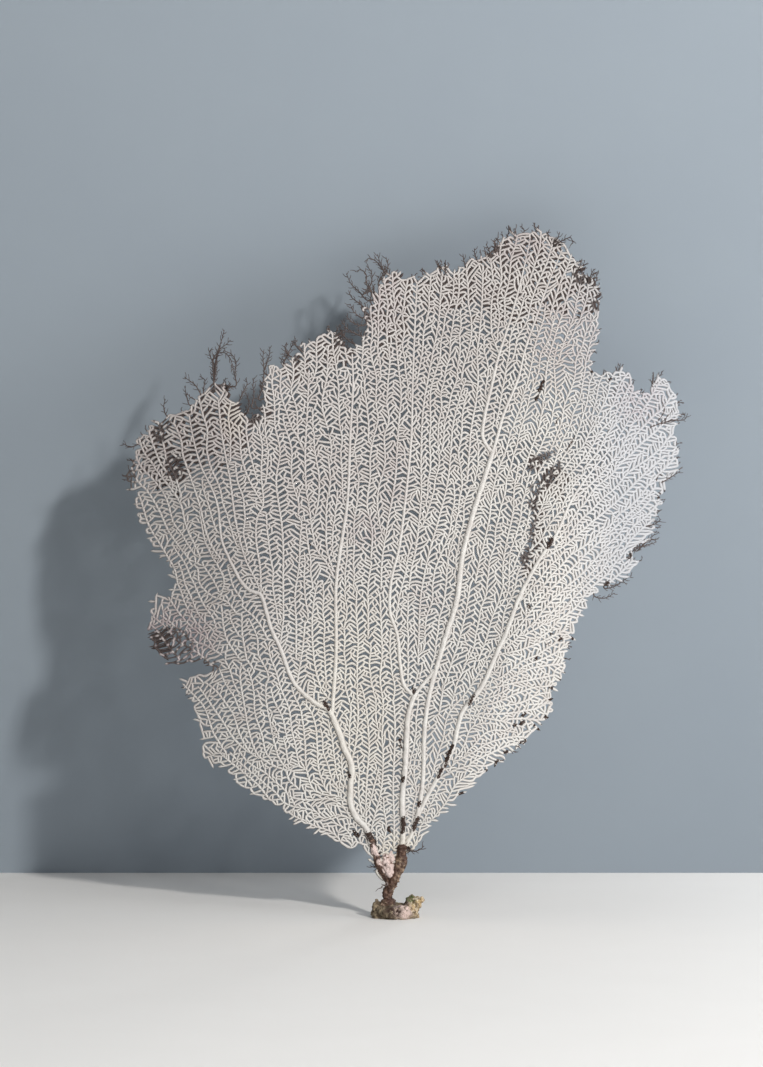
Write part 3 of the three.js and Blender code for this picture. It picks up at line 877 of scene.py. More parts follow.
def nearest_vein(column, row, reach):
    """The nearest knot of a rib or vein within reach, and its distance"""
    found, best = None, reach
    span = int(reach // BIN) + 1
    i, j = int(column // BIN), int(row // BIN)
    for a in range(i - span, i + span + 1):
        for b in range(j - span, j + span + 1):
            for k in bins.get((a, b), ()):
                distance = math.hypot(net.column[k] - column, net.row[k] - row)
                if distance < best:
                    found, best = k, distance
    return found, best


def near_foot(column, row):
    """1 just above the trunk, where the net is tight and thick, falling to 0 some way up"""
    return min(max(1.2 - math.hypot(column - 396, row - 858) / 105, 0), 1)


def loose_left(column, row):
    """0 over the middle and the right, 1 in the loose mesh of the fan's left side"""
    return min(max((330 - column) / 100, 0), 1) * min(max((row - 390) / 80, 0), 1)


def right_lobe(column, row):
    """0 over the middle and the left, 1 in the fine-meshed right of the fan"""
    return min(max((column - 440 - (800 - row) * 0.3) / 70, 0), 1)


def vein_gap(column, row):
    """The distance from one vein to the next"""
    return VEIN_SPACING - 2.6 * near_foot(column, row) - 1.4 * right_lobe(column, row)


def vein_half(column, row, way):
    """Follows the run of the veins from a place, up or down, until there is no room"""
    places = []
    while len(places) < 400:
        across, down = run_at(column, row)
        column, row = column + way * across * STEP, row + way * down * STEP
        if margin.at(column, row) < 0.8:
            break
        if len(places) % 3 == 0 and nearest_vein(column, row, vein_gap(column, row) * 0.42)[0] is not None:
            break
        places.append((column, row))
    return places


def vein_foot(place):
    """A curved foot for a fine vein, at a slant from a strand below, and the knot it springs from"""
    closest, gap = nearest_vein(*place, VEIN_SPACING * 1.3)
    if closest is None:
        return [], None
    knots = strands[net.strand[closest]]
    at = knots.index(closest)
    across, down = run_at(*place)
    best = None
    for k in knots[max(0, at - 22):at + 1]:
        dx, dy = place[0] - net.column[k], place[1] - net.row[k]
        length = math.hypot(dx, dy)
        if length >= 1:
            slant = math.degrees(math.acos(max(-1, min(1, (dx * across + dy * down) / length))))
            score = abs(slant - 30) + length * 0.3
            if best is None or score < best[0]:
                best = (score, k, length)
    if best is None:
        return [], None
    score, knot, length = best
    bend = (place[0] - across * length * 0.45, place[1] - down * length * 0.45)
    count = max(2, int(length))
    foot = []
    for k in range(1, count):
        t = k / count
        foot.append(tuple((1 - t) ** 2 * a + 2 * t * (1 - t) * b + t * t * c
                          for a, b, c in zip((net.column[knot], net.row[knot]), bend, place)))
    crossed = any(net.strand[k] != net.strand[knot] for place in foot[2:-1] for k in net.near(*place, 0.9))
    return ([], None) if crossed else (foot, knot)


for knots in strands:
    remember(knots)
queue = [(s, k) for s, knots in enumerate(strands) for k in range(4, len(knots) - 2, SPROUTS_APART)]
dice.shuffle(queue)
for s, k in queue:
    knot = strands[s][k]
    column, row = net.column[knot], net.row[knot]
    across, down = run_at(column, row)
    for side in (-1, 1):
        gap = vein_gap(column, row) * dice.uniform(0.8, 1.25)
        start = (column - side * down * gap, row + side * across * gap)
        if margin.at(*start) < 4 or nearest_vein(*start, gap * 0.93)[0] is not None:
            continue
        path = vein_half(*start, -1)[::-1] + [start] + vein_half(*start, 1)
        if len(path) < SHORTEST_VEIN:
            continue
        foot, springs_from = vein_foot(path[0])
        knots = lay(foot + path, 1.0, 0.9, 0.3, springs_from)
        remember(knots)
        queue.extend((len(strands) - 1, k) for k in range(4, len(knots) - 2, SPROUTS_APART))
vein_strands = len(strands)


def barb_pitch(column, row):
    """The distance from barb to barb, square across them"""
    pitch = BARB_PITCH + 0.5 * loose_left(column, row) - 0.45 * right_lobe(column, row)
    pitch -= 0.6 * near_foot(column, row)
    return pitch * (1 + 0.28 * noise.noise((column / 15, row / 15, 6.1)))


def barb_slant(column, row):
    """The angle between a barb and its vein, which wanders from place to place"""
    stray = 0.34 * noise.noise((column / 12, row / 14, 3.7)) + 0.1 * math.sin(row / 17 - column / 29)
    return math.radians(BARB_SLANT + 16 * loose_left(column, row)) + stray


def tangle(column, row):
    """How unruly the barbs are here: 0 in neat herringbone, up to 1 in the tangled patches"""
    return min(max(noise.noise((column / 24, row / 30, 2.5)) * 3.4 - 0.1, 0), 1)


class Barb:
    """The growing tip of a side strand; a steered one keeps the slant of the barbs around it"""

    def __init__(self, knot, heading, side, steered):
        self.knot, self.heading, self.side, self.steered = knot, heading, side, steered
        self.origin = net.strand[knot]
        self.strand, self.length = None, 0
        self.wait = dice.randint(0, 4) if steered else 0
        self.lean = dice.uniform(0.85, 1.18)
        self.stub = dice.random() < 0.4
        self.overshoot = dice.uniform(0.5, 4.0) if self.stub else 0.5


def barb_heading(barb, column, row):
    """Where a growing barb turns next: towards its slant off the vein, and along the margin near it"""
    heading = barb.heading
    if barb.steered:
        across, down = run_at(column, row)
        aim = math.atan2(down, across) + barb.side * barb_slant(column, row) * barb.lean
        turn = (aim - heading + math.pi) % (2 * math.pi) - math.pi
        heading += 0.19 * turn + dice.gauss(0, 0.05 + 0.16 * tangle(column, row))
    room = margin.at(column, row)
    if room < 3.2 and not barb.stub:
        inward = (margin.at(column + 1, row) - margin.at(column - 1, row),
                  margin.at(column, row + 1) - margin.at(column, row - 1))
        length = math.hypot(*inward) + 1e-9
        hx, hy = math.cos(heading), math.sin(heading)
        if (hx * inward[0] + hy * inward[1]) / length < 0.1:
            push = (3.4 - room) * 0.28 / length
            heading = math.atan2(hy + inward[1] * push, hx + inward[0] * push)
    return heading


def strand_ahead(barb, column, row, from_column, from_row):
    """The knot of another strand that the barb's next step would touch"""
    hx, hy = math.cos(barb.heading), math.sin(barb.heading)
    target, best = None, 1e9
    for k in net.near(column, row, REACH):
        if net.strand[k] == barb.strand and (barb.length < 6 or k > barb.knot - 6):
            continue
        if net.strand[k] == barb.origin and barb.length < 4:
            continue
        away = math.hypot(net.column[k] - column, net.row[k] - row)
        if barb.length < 3 and away > 1.2:
            continue
        ahead = (net.column[k] - from_column) * hx + (net.row[k] - from_row) * hy
        if ahead >= 0.2 and away - 0.35 * ahead < best:
            target, best = k, away - 0.35 * ahead
    return target


def grow(barbs):
    """Grows all these barbs together, a step each in turn, until every one has met a strand or the edge"""
    while barbs:
        growing = []
        for barb in barbs:
            if barb.wait > 0:
                barb.wait -= 1
                growing.append(barb)
                continue
            column, row = net.column[barb.knot], net.row[barb.knot]
            barb.length += 1
            barb.heading = barb_heading(barb, column, row)
            next_column = column + STEP * math.cos(barb.heading)
            next_row = row + STEP * math.sin(barb.heading)
            if margin.at(next_column, next_row) < -barb.overshoot or barb.length > LONGEST_BARB:
                continue
            target = strand_ahead(barb, next_column, next_row, column, row)
            if target is not None:
                net.join(barb.knot, target)
                continue
            if barb.strand is None:
                barb.strand = len(strands)
                strands.append([])
            barb.knot = net.add(next_column, next_row, barb.strand, dice.uniform(0.78, 0.98), barb.knot)
            strands[barb.strand].append(barb.knot)
            growing.append(barb)
        barbs = growing


# Each barb leaves its vein a little wider than it runs later, and curves upwards
SPREAD_AT_FOOT = math.radians(26)
barbs = []
for knots in strands[:vein_strands]:
    for side in (-1, 1):
        at = dice.uniform(1, 4)
        while at < len(knots) - 1:
            knot = knots[int(at)]
            before, after = knots[max(int(at) - 2, 0)], knots[min(int(at) + 2, len(knots) - 1)]
            along = math.atan2(net.row[after] - net.row[before], net.column[after] - net.column[before])
            place = (net.column[knot], net.row[knot])
            barbs.append(Barb(knot, along + side * (barb_slant(*place) + SPREAD_AT_FOOT), side, True))
            jitter = 0.12 + 0.16 * tangle(*place)
            at += barb_pitch(*place) / math.sin(barb_slant(*place)) * dice.uniform(1 - jitter, 1 + jitter)
grow(barbs)

# Short bridges tie neighbouring barbs together here and there, and so the holes between them close up round
BRIDGED = 0.18
bridges = []
for knots in strands[vein_strands:]:
    root = (net.column[knots[0]], net.row[knots[0]])
    if len(knots) >= 6 and dice.random() < BRIDGED * (1 + right_lobe(*root)):
        at = int(len(knots) * dice.uniform(0.35, 0.7))
        before, after = knots[at - 2], knots[min(at + 2, len(knots) - 1)]
        along = math.atan2(net.row[after] - net.row[before], net.column[after] - net.column[before])
        side = dice.choice((-1, 1))
        bridges.append(Barb(knots[at], along + side * math.radians(dice.uniform(50, 85)), side, False))
grow(bridges)


def wide_holes():
    """The middles of the holes that are wider than the barbs' spacing allows, widest first"""
    taken = net.map >= 0
    depth = np.zeros(taken.shape, np.int16)
    grown = taken.copy()
    for ring in range(14):
        depth += ~grown
        spread = grown.copy()
        spread[1:] |= grown[:-1]
        spread[:-1] |= grown[1:]
        spread[:, 1:] |= grown[:, :-1]
        spread[:, :-1] |= grown[:, 1:]
        if ring % 2:
            spread[1:, 1:] |= grown[:-1, :-1]
            spread[:-1, :-1] |= grown[1:, 1:]
            spread[1:, :-1] |= grown[:-1, 1:]
            spread[:-1, 1:] |= grown[1:, :-1]
        grown = spread
    rows, columns = np.nonzero(depth >= 5)
    order = np.argsort(-depth[rows, columns], kind="stable")
    covered = np.zeros(taken.shape, bool)
    holes = []
    for j, i in zip(rows[order], columns[order]):
        if covered[j, i]:
            continue
        column, row = NET_LEFT + i * net.CELL, NET_TOP + j * net.CELL
        if margin.at(column, row) < 2.5 or depth[j, i] * net.CELL < 0.64 * barb_pitch(column, row):
            continue
        covered[max(j - 11, 0):j + 12, max(i - 11, 0):i + 12] = True
        holes.append((column, row))
    return holes


for attempt in range(2):
    crossing = []
    for column, row in wide_holes():
        beside = net.near(column, row, 7)
        if beside:
            heading = math.atan2(row - net.row[beside[0]], column - net.column[beside[0]])
            crossing.append(Barb(beside[0], heading, 1, False))
    grow(crossing)


# The grown net is redrawn with longer, even steps, and its joins are eased so that strands flow together
LINK = 1.65


def redrawn():
    """Knots as columns, rows and half widths, and the links between them, a link length apart"""
    place = np.column_stack([net.column, net.row])
    neighbours = [[] for k in net.column]
    seen = set()
    for a, b in net.links:
        on_rib = net.strand[a] < rib_strands and net.strand[b] < rib_strands
        if a != b and (min(a, b), max(a, b)) not in seen and not on_rib:
            seen.add((min(a, b), max(a, b)))
            neighbours[a].append(b)
            neighbours[b].append(a)
    fixed = [net.strand[k] < rib_strands for k in range(len(neighbours))]
    for ease in range(2):
        eased = place.copy()
        for k, around in enumerate(neighbours):
            if len(around) > 1 and not fixed[k]:
                eased[k] += 0.4 * (place[around].mean(axis=0) - place[k])
        place = eased
    points, widths, links, kept = [], [], [], {}

    def keep(k):
        if k not in kept:
            kept[k] = len(points)
            points.append(place[k])
            widths.append(net.half_width[k])
        return kept[k]

    ends = [k for k, around in enumerate(neighbours) if around and (len(around) != 2 or fixed[k])]
    walked = set()
    for end in ends:
        for following in neighbours[end]:
            if (end, following) in walked:
                continue
            chain = [end, following]
            while len(neighbours[chain[-1]]) == 2 and not fixed[chain[-1]]:
                a, b = neighbours[chain[-1]]
                chain.append(b if a == chain[-2] else a)
            walked.add((end, following))
            walked.add((chain[-1], chain[-2]))
            path = place[chain]
            travelled = np.concatenate([[0], np.cumsum(np.hypot(*np.diff(path, axis=0).T))])
            loose = len(neighbours[end]) == 1 or len(neighbours[chain[-1]]) == 1
            if loose and travelled[-1] < 1.6:
                continue
            count = max(1, round(travelled[-1] / LINK))
            last = keep(end)
            for k in range(1, count):
                at = travelled[-1] * k / count
                points.append(np.array([np.interp(at, travelled, path[:, axis]) for axis in (0, 1)]))
                widths.append(float(np.interp(at, travelled, [net.half_width[c] for c in chain])))
                links.append((last, len(points) - 1))
                last = len(points) - 1
            links.append((last, keep(chain[-1])))
    return np.array(points), np.array(widths), np.array(links)


def held(links, count, roots):
    """True for the knots that the links join to the roots"""
    reached = np.zeros(count, bool)
    reached[roots] = True
    found = 0
    while reached.sum() > found:
        found = reached.sum()
        for ends in (links, links[:, ::-1]):
            reached[ends[reached[ends[:, 0]], 1]] = True
    return reached


# What doesn't hang on a rib is dropped. Stripped strands are thin, those near the foot are thick, and those
# of the fine mesh on the right are a little thicker than the rest.
STRAND_WIDTH = 1.52
STRIPPED_THINNING = 0.54

knot_places, knot_widths, knot_links = redrawn()
rib_places = np.concatenate([smooth_path(rib["path"], STEP) for rib in RIBS.values()])
on_rib = np.array([np.hypot(*(rib_places - place).T).min() < 0.6 for place in knot_places])
knot_links = knot_links[held(knot_links, len(knot_places), on_rib)[knot_links[:, 0]]]
knot_stripped = stripped(knot_places[:, 0], knot_places[:, 1])
from_fork = np.hypot(knot_places[:, 0] - FORK_COLUMN, knot_places[:, 1] - FORK_ROW)
foot_thickness = np.clip(1.6 - from_fork / 26, 0, 1)
fine_meshed = np.clip((knot_places[:, 0] - 455 - (800 - knot_places[:, 1]) * 0.25) / 120, 0, 1)
knot_widths = knot_widths * STRAND_WIDTH * (1 - STRIPPED_THINNING * knot_stripped)
knot_widths = knot_widths * (1 + 0.25 * foot_thickness + 0.1 * fine_meshed)


def around(links, places):
    """For each half link, the half link that follows it round the hole on its right"""
    tails = np.concatenate([links[:, 0], links[:, 1]])
    heads = np.concatenate([links[:, 1], links[:, 0]])
    way = places[heads] - places[tails]
    angle = np.arctan2(way[:, 1], way[:, 0])
    count = len(tails)
    twin = np.concatenate([np.arange(count // 2, count), np.arange(count // 2)])
    order = np.lexsort((angle, tails))
    first = np.searchsorted(tails[order], np.arange(len(places)))
    last = np.searchsorted(tails[order], np.arange(len(places)), side="right") - 1
    position = np.empty(count, int)
    position[order] = np.arange(count)
    turned = np.where(position == last[tails], first[tails], np.minimum(position + 1, count - 1))
    following = order[turned][twin]
    return tails, heads, angle, twin, following


# A strand's section: how far its front and its back stand from the net's middle surface, how far out on the
# way to the rim its shoulders are, how far they stand in front, and how far behind the rim lies
SECTION_FRONT = 0.76
SECTION_BACK = 1.7
SHOULDER_OUT = 0.62
SHOULDER_FRONT = 0.66
RIM_BACK = 0.5


def strand_mesh(places, widths, links):
    """A closed skin round a flat web of strands: round strands with the crotches between them filled in.
    Returns its points and faces, the knot that each point belongs to, and the painted shade on its flank:
    none on the front and back, a little at the shoulders and full at the rim."""
    tails, heads, angle, twin, following = around(links, places)
    before = np.empty_like(following)
    before[following] = np.arange(len(following))
    corner = places[heads]
    width = widths[heads]
    opening = (angle[following] - angle[twin]) % (2 * math.pi)
    opening = np.where(opening < 1e-6, 2 * math.pi, opening)
    middle = angle[twin] + opening / 2
    outward = np.column_stack([np.cos(middle), np.sin(middle)])
    limit = np.full(len(corner), 9.0)
    ahead, behind = following, before
    for step in range(9):
        for other in (ahead, behind):
            gap = places[heads[other]] - corner
            towards = (gap * outward).sum(axis=1)
            room = np.where(towards > 0.05, (gap ** 2).sum(axis=1) / (2 * np.maximum(towards, 0.05)), 9.0)
            room = np.where((gap ** 2).sum(axis=1) < 1e-9, 9.0, room)
            limit = np.minimum(limit, room * 0.97)
        ahead, behind = following[ahead], before[behind]
    mitre = np.where(opening < math.pi, 1 / np.maximum(np.sin(opening / 2), 0.1), 1.0)
    reach = np.minimum(width * np.minimum(mitre, 1.25), limit)
    rim = corner + outward * reach[:, None]
    for ease in range(5):
        move = (rim[following] + rim[before]) / 2 - rim
        move = outward * np.maximum((move * outward).sum(axis=1), 0)[:, None]
        rim = rim + 0.6 * move
        reach = ((rim - corner) * outward).sum(axis=1)
        rim = rim - outward * np.maximum(reach - limit, 0)[:, None]

    count, corners = len(places), len(corner)
    thick = widths * PIXEL * SECTION_FRONT
    centre = on_sheet(places[:, 0], places[:, 1])
    facing = sheet_facing(places[:, 0], places[:, 1])
    shoulder = corner + (rim - corner) * SHOULDER_OUT
    facing_rim = facing[heads] * thick[heads][:, None]
    points = np.concatenate([
        centre + facing * thick[:, None], centre - SECTION_BACK * facing * thick[:, None],
        on_sheet(shoulder[:, 0], shoulder[:, 1]) + SHOULDER_FRONT * facing_rim,
        on_sheet(rim[:, 0], rim[:, 1]) - RIM_BACK * facing_rim])
    here, back = np.arange(corners), before
    upper, lower = 2 * count, 2 * count + corners
    quads = [np.stack([tails, heads, upper + here, upper + back], axis=1),
             np.stack([upper + back, upper + here, lower + here, lower + back], axis=1),
             np.stack([lower + back, lower + here, heads + count, tails + count], axis=1)]
    owner = np.concatenate([np.arange(count), np.arange(count), heads, heads])
    # Painted shade: none on the front and back, a little at the shoulders, full at the rim low on the flanks
    painted_flank_shade = np.concatenate([np.zeros(2 * count), np.full(corners, 0.05), np.ones(corners)])
    return points, np.concatenate(quads), owner, painted_flank_shade


def rib_column(name, rows):
    """The column of a rib's middle line at each row, or of its nearest end past its ends"""
    path = smooth_path(RIBS[name]["path"], 3.0)
    path = path[np.argsort(path[:, 1])]
    return np.interp(rows, path[:, 1], path[:, 0])


def web_of(columns, rows):
    """The name of the web that each place lies in"""
    left = np.where(rows > 716, rib_column("rib_left_stem", rows), rib_column("rib_left_inner", rows))
    centre = np.where(rows > 695, rib_column("rib_centre_stem", rows), rib_column("rib_centre_left", rows))
    main = np.where(rows > 451, rib_column("rib_main_stem", rows), rib_column("rib_main_left", rows))
    webs = np.full(len(columns), "web_centre", dtype="U20")
    webs[columns < centre] = "web_centre_left"
    webs[columns < left] = "web_left"
    outer = (rows < 716) & (columns < rib_column("rib_left_outer", rows)) | (rows >= 716) & (columns < left)
    webs[outer] = "web_outer_left"
    webs[(columns > centre) & (columns < main) & (rows > 683)] = "web_stem"
    webs[columns > main] = "web_centre_right"
    crown = (rows < 451) & (columns > main) & (columns < rib_column("rib_main_right", rows))
    webs[crown] = "web_crown"
    webs[(columns > rib_column("rib_right", rows)) & (columns > main)] = "web_right"
    return webs


# One piece for each web between the ribs. The strands' flanks are painted dark as shade, least so in the
# fine mesh on the right, where the wall behind the net is lit.
knot_marks = rind_marks(knot_places[:, 0], knot_places[:, 1])
knot_marks["stripped"] = 0.92 * knot_stripped
# Painted shade on the strands' flanks, weaker in the fine mesh on the right
knot_marks["painted_flank_shade"] = 1 - 0.75 * fine_meshed
middles = (knot_places[knot_links[:, 0]] + knot_places[knot_links[:, 1]]) / 2
web_names = web_of(middles[:, 0], middles[:, 1])
for name in sorted(set(web_names)):
    links = knot_links[web_names == name]
    used, renumbered = np.unique(links, return_inverse=True)
    links = renumbered.reshape(-1, 2)
    points, quads, owner, painted_flank_shade = strand_mesh(knot_places[used], knot_widths[used], links)
    marks = {mark: values[used][owner] for mark, values in knot_marks.items()}
    marks["painted_flank_shade"] = marks["painted_flank_shade"] * painted_flank_shade
    piece = make_piece("net_of_" + name, points, quads, rind, marks)
    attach(piece, "root")
    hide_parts(name)

# Old bare net: behind the front net, in the stained and torn patches, lies older thin growth that has lost
# its rind. It is dark horn that touches the back of the front net, so the holes there look dark. Some of the
# patches, as in the crown, are painted shade: a dark backing put where the holes only lie in shade. Each
# patch is a column, a row and its reach across and down, and the old net is the front one shifted a little.
OLD_GROWTH_AND_SHADE_PATCHES = [
    (206, 420, 46, 46), (163, 448, 30, 40), (386, 302, 22, 48), (356, 322, 13, 26), (552, 482, 15, 19),
    (512, 272, 66, 46), (585, 288, 15, 22), (156, 645, 14, 16), (256, 405, 14, 24), (292, 360, 16, 18),
    (533, 462, 11, 9), (536, 520, 6, 34), (527, 562, 8, 15), (440, 290, 30, 20), (330, 350, 26, 16),
]
OLD_SHIFT = (2.3, 1.7)
OLD_WIDTH = 1.25
OLD_BEHIND = 0.7

frayed = np.array([noise.noise((column / 8, row / 8, 4.5)) for column, row in knot_places])
in_old_growth_and_shade = np.zeros(len(knot_places), bool)
for column, row, across, down in OLD_GROWTH_AND_SHADE_PATCHES:
    reach = ((knot_places[:, 0] - column) / across) ** 2 + ((knot_places[:, 1] - row) / down) ** 2
    in_old_growth_and_shade |= reach + 1.1 * frayed < 1
old_links = knot_links[in_old_growth_and_shade[knot_links].all(axis=1)]
used, renumbered = np.unique(old_links, return_inverse=True)
old_places = knot_places[used] + OLD_SHIFT
old_widths = np.full(len(used), OLD_WIDTH)
points, quads, owner = strand_mesh(old_places, old_widths, renumbered.reshape(-1, 2))[:3]
points = points - sheet_facing(old_places[owner, 0], old_places[owner, 1]) * OLD_BEHIND * MM
# Partly real bare growth, partly a dark backing that paints shade into the holes
old_net_and_shade_backing = make_piece("old_bare_net_and_shade_backing", points, quads, rind, {"stripped": np.ones(len(points))})
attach(old_net_and_shade_backing, "root")

# Bare twigs: along the top and right edges the fine twigs have lost their rind and stand out beyond the net
# as dark branching thorns of horn. They grow from the net's own strands. These are the large ones.
TWIG_PATHS = [
    [(214, 384), (213, 372), (214, 362), (216, 350), (219, 340), (222, 329)],
    [(213, 366), (208, 358), (205, 352), (208, 347)],
    [(216, 356), (225, 353), (230, 358), (233, 366), (234, 374)],
    [(236, 386), (235, 374), (236, 362), (231, 354), (224, 351)], [(219, 350), (226, 344), (230, 340)],
    [(201, 394), (196, 385), (190, 380), (186, 377)], [(203, 390), (203, 380), (197, 376)],
    [(190, 405), (188, 396), (187, 386)], [(166, 414), (165, 406), (167, 399)],
    [(139, 444), (131, 447), (124, 443)], [(243, 392), (247, 383), (245, 378)],
    [(252, 408), (254, 396), (253, 386), (254, 378)], [(248, 412), (249, 402), (246, 393)],
    [(259, 400), (262, 388), (264, 372), (263, 358), (264, 350)],
    [(264, 372), (268, 360), (270, 349), (269, 346)], [(283, 366), (288, 354), (294, 342), (296, 338)],
    [(290, 356), (285, 347), (287, 342)], [(378, 285), (383, 272), (379, 262), (377, 255)],
    [(381, 268), (376, 262), (368, 259), (365, 262)], [(384, 276), (388, 266), (386, 257)],
    [(372, 292), (366, 284), (366, 275), (361, 270), (355, 272)],
    [(367, 300), (360, 292), (352, 284), (347, 273)], [(366, 310), (359, 303), (352, 297), (349, 290)],
    [(362, 318), (354, 312), (350, 304)], [(361, 326), (351, 322), (345, 316)],
    [(356, 334), (347, 329), (341, 320)], [(352, 343), (344, 336), (340, 327)],
    [(371, 303), (371, 290), (366, 280)], [(364, 294), (371, 284), (371, 272), (366, 266)],
    [(441, 276), (440, 268), (437, 260)], [(445, 274), (446, 264)], [(466, 268), (464, 261), (463, 254)],
    [(478, 262), (475, 255), (474, 248)], [(491, 258), (489, 250), (486, 244)],
    [(495, 252), (495, 242), (499, 237)], [(505, 243), (508, 234), (509, 228)],
    [(514, 240), (516, 233), (514, 228)], [(523, 238), (524, 230), (521, 226)],
    [(534, 238), (536, 231), (537, 226)], [(553, 244), (558, 238), (560, 232)],
    [(554, 245), (562, 241), (571, 238), (573, 244)], [(588, 284), (591, 275), (594, 269)],
    [(593, 286), (597, 279), (596, 273)], [(613, 394), (618, 384), (622, 374), (626, 365)],
    [(652, 386), (655, 379), (657, 373)], [(650, 427), (660, 423), (667, 416), (674, 408)],
    [(660, 424), (671, 420), (683, 419), (686, 413)], [(658, 420), (664, 410), (662, 402)],
    [(660, 483), (670, 477), (679, 471)], [(656, 480), (659, 474), (662, 476)],
    [(645, 526), (653, 523), (657, 518)], [(636, 551), (644, 544), (655, 534)],
    [(640, 546), (652, 545), (661, 543)], [(604, 588), (616, 587), (628, 581), (637, 577)],
    [(594, 596), (604, 598), (614, 593)], [(556, 423), (558, 419), (561, 416)],
    [(567, 450), (571, 443), (575, 435)], [(371, 837), (378, 847), (383, 853), (393, 858)],
    [(404, 848), (414, 851), (421, 848), (424, 845)], [(383, 866), (376, 868), (370, 866)],
    [(386, 876), (381, 877), (377, 874)], [(388, 884), (383, 885), (380, 888)],
]
TWIG_RADII = (0.44, 0.36, 0.2)
SIDE_TWIG_RADII = (0.28, 0.16)
TWIG_STANDS_OUT = 0.45

# Where the net's edge is fringed with thorns: column, row, reach across and down, their share, their length
FRINGES = [
    (212, 388, 26, 16, 0.9, 9), (188, 402, 18, 14, 0.5, 6), (160, 420, 22, 16, 0.5, 5),
    (134, 458, 14, 30, 0.5, 5), (256, 405, 14, 22, 1.0, 8), (266, 376, 10, 18, 0.8, 7),
    (292, 352, 16, 14, 0.9, 8), (320, 335, 16, 10, 0.6, 5), (346, 338, 12, 14, 1.0, 9),
    (358, 310, 15, 34, 1.0, 9), (374, 278, 16, 16, 1.0, 9), (402, 274, 14, 10, 0.6, 5),
    (432, 272, 14, 10, 0.7, 6), (460, 264, 22, 12, 0.7, 6), (491, 249, 12, 12, 1.0, 6),
    (522, 234, 32, 10, 0.9, 6), (556, 240, 16, 12, 0.8, 6), (583, 272, 16, 14, 1.0, 7),
    (598, 304, 10, 28, 0.8, 6), (598, 350, 10, 20, 0.4, 5), (612, 374, 18, 10, 0.6, 5),
    (640, 386, 18, 14, 0.6, 5), (662, 382, 18, 14, 0.9, 6), (678, 420, 12, 34, 0.8, 6),
    (675, 468, 14, 30, 0.7, 5), (655, 516, 16, 30, 0.7, 6), (638, 552, 16, 20, 0.7, 6),
    (600, 588, 28, 14, 0.6, 6), (568, 655, 16, 60, 0.3, 4), (520, 740, 44, 30, 0.3, 4),
    (430, 838, 30, 30, 0.4, 4), (196, 690, 12, 20, 0.3, 4),
]
THORN_SPACING = 1.5
THORN_RADII = (0.34, 0.26, 0.16)
twig_limbs = []


def grow_twig(path, radii, root, tilt):
    """One tapering twig, tilted out of the net's surface with its distance from its root"""
    points, faces, places = limb_mesh(path, radii, 6, 1.1, 0.0, [(1.0, 0.25)])
    places = np.vstack([places, places[:1], places[-1:]])
    out = TWIG_STANDS_OUT * MM + tilt * PIXEL * np.hypot(*(places - root).T)
    twig_limbs.append((points + sheet_facing(places[:, 0], places[:, 1]) * out[:, None], faces))


def sprig(path, radii, side_length):
    """A twig with smaller twigs on both its sides"""
    root, tilt = np.array(path[0], float), dice.uniform(-0.45, 0.45)
    grow_twig(path, radii, root, tilt)
    stem = smooth_path(path, 1.0)
    at, side = dice.uniform(2, 4), dice.choice((-1, 1))
    while at < len(stem) - 1:
        here = stem[int(at)]
        along = here - stem[int(at) - 1]
        heading = math.atan2(along[1], along[0]) + side * math.radians(dice.uniform(30, 65))
        length = side_length * dice.uniform(0.4, 1.0)
        middle = here + 0.55 * length * np.array([math.cos(heading), math.sin(heading)])
        heading -= side * dice.uniform(0.1, 0.6)
        tip = middle + 0.45 * length * np.array([math.cos(heading), math.sin(heading)])
        grow_twig([here, middle, tip], SIDE_TWIG_RADII, root, tilt)
        at += dice.uniform(1.6, 3.4)
        side = -side


standing = np.unique(knot_links)
for path in TWIG_PATHS:
    places = np.array(path, float)
    away = np.hypot(*(knot_places[standing] - places[0]).T)
    if away.min() > 0.5:
        places = np.vstack([knot_places[standing[away.argmin()]], places])
    if margin.at(*path[-1]) < 0:
        sprig(places, TWIG_RADII, 6.5)
    else:
        grow_twig(places, TWIG_RADII, places[0], 0.0)

edge_knots = [k for k in standing if margin.at(*knot_places[k]) < 1.3]
dice.shuffle(edge_knots)
thorns = []
for k in edge_knots:
    column, row = knot_places[k]
    zones = [(share, length) for c, r, across, down, share, length in FRINGES
             if ((column - c) / across) ** 2 + ((row - r) / down) ** 2 < 1]
    if not zones or any(math.hypot(column - c, row - r) < THORN_SPACING for c, r in thorns):
        continue
    share, length = max(zones)
    thorns.append((column, row))
    if dice.random() > share:
        continue
    across, down = run_at(column, row)
    outward = np.array([margin.at(column - 1, row) - margin.at(column + 1, row),
                        margin.at(column, row - 1) - margin.at(column, row + 1)])
    outward = outward / (np.hypot(*outward) + 1e-9) + 0.7 * np.array([across, down])
    heading = math.atan2(outward[1], outward[0]) + dice.uniform(-0.5, 0.5)
    length *= dice.uniform(0.4, 1.2)
    middle = (column + 0.5 * length * math.cos(heading), row + 0.5 * length * math.sin(heading))
    heading += dice.uniform(-0.7, 0.7)
    tip = (middle[0] + 0.5 * length * math.cos(heading), middle[1] + 0.5 * length * math.sin(heading))
    sprig([(column, row), middle, tip], THORN_RADII, 0.5 * length)

starts = np.cumsum([0] + [len(points) for points, faces in twig_limbs])
twig_points = np.concatenate([points for points, faces in twig_limbs])
twig_quads, twig_caps = [
    np.concatenate([faces[kind] + start for (points, faces), start in zip(twig_limbs, starts)])
    for kind in (0, 1)]
twigs = make_piece("bare_twigs", twig_points, (twig_quads, twig_caps), horn,
                   {"weathered": np.full(len(twig_points), 0.7)})
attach(twigs, "root")

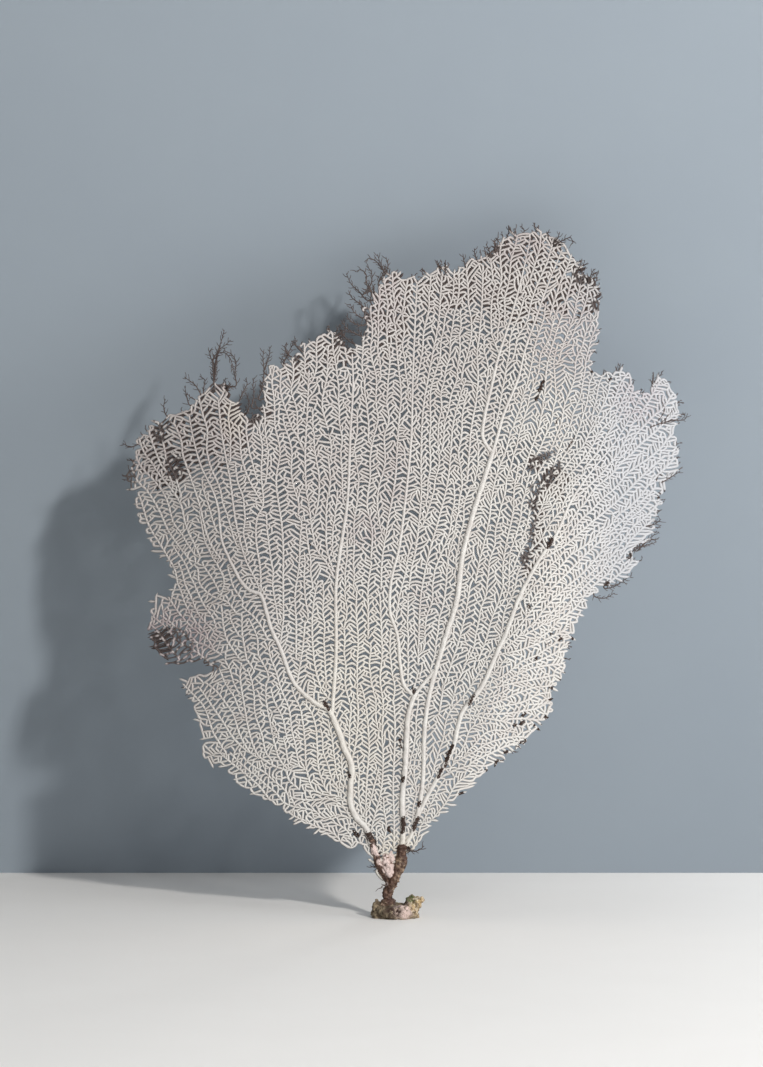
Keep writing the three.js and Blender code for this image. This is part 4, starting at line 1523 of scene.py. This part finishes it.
# The stage: a pale floor and, close behind the fan, a plain grey wall that catches its shadow. The top of
# the fan is nearer to the wall than its foot is, so the wall slopes forward. It has a front only, so the fan
# can be looked at and lit from behind. Sizes are in metres, and the slope is how far it leans for each one.
WALL_BEHIND = 0.26
WALL_SLOPE = 0.5
ROOM_HALF_WIDTH = 3.0
ROOM_HEIGHT = 2.6


def flat(name, corners, material):
    """One flat face of the stage"""
    mesh = bpy.data.meshes.new(name)
    mesh.from_pydata(corners, [], [(0, 1, 2, 3)])
    mesh.materials.append(material)
    made = bpy.data.objects.new(name, mesh)
    bpy.context.scene.collection.objects.link(made)
    return made


# Matt emulsion paint: almost even in colour, with the faint grain of the roller
floor_paint = new_material("pale_matt_floor_paint")
layered_finish(floor_paint, "efece8", [{"colour": "f2efeb", "lumps": (60.0, 3.0, 0.55)}],
               0.8, (0.8, 3.0, 0.55), 0.02)
wall_paint = new_material("grey_matt_wall_paint")
wall_shader = layered_finish(wall_paint, "8b959f", [{"colour": "8f99a2", "lumps": (80.0, 3.0, 0.55)}],
                             0.9, (1.5, 3.0, 0.55), 0.02)
clear = add_node(wall_paint, "ShaderNodeBsdfTransparent")
behind = add_node(wall_paint, "ShaderNodeNewGeometry").outputs["Backfacing"]
one_sided = add_node(wall_paint, "ShaderNodeMixShader",
                     {0: behind, 1: wall_shader.outputs[0], 2: clear.outputs[0]})
wall_output = wall_paint.node_tree.nodes["Material Output"]
wall_paint.node_tree.links.new(one_sided.outputs[0], wall_output.inputs[0])

half = ROOM_HALF_WIDTH
flat("floor", [(-half, -half, 0), (half, -half, 0), (half, half, 0), (-half, half, 0)], floor_paint)
wall_top = WALL_BEHIND - WALL_SLOPE * ROOM_HEIGHT
wall = flat("wall", [(-half, WALL_BEHIND, 0), (half, WALL_BEHIND, 0), (half, wall_top, ROOM_HEIGHT),
                     (-half, wall_top, ROOM_HEIGHT)], wall_paint)
wall.visible_shadow = False


def soft_light(name, place, size, power, colour, aim=(0, 0, 0.25)):
    """A square light that faces the middle of the fan, or another place"""
    light = bpy.data.lights.new(name, "AREA")
    light.size = size
    light.energy = power
    light.color = linear(colour)[:3]
    made = bpy.data.objects.new(name, light)
    made.location = place
    made.rotation_euler = (Vector(aim) - Vector(place)).to_track_quat("-Z", "Y").to_euler()
    made.visible_camera = False
    bpy.context.scene.collection.objects.link(made)


soft_light("key_light", (1.45, -2.7, 1.32), 0.2, 86, "fffcf8")
soft_light("window_light", (1.6, -0.8, 0.4), 0.8, 10, "f8faff", (0, 0.1, 0.15))
soft_light("floor_light", (0.5, -1.1, 1.3), 0.7, 4.5, "ffffff", (0.2, -0.9, 0))
soft_light("back_light", (0.6, 1.7, 0.17), 0.3, 12, "ffffff")
world = bpy.data.worlds.new("studio")
world.use_nodes = True
world.node_tree.nodes["Background"].inputs["Color"].default_value = linear("dfe5ea")
world.node_tree.nodes["Background"].inputs["Strength"].default_value = 0.06
bpy.context.scene.world = world
bpy.context.scene.view_settings.view_transform = "Standard"
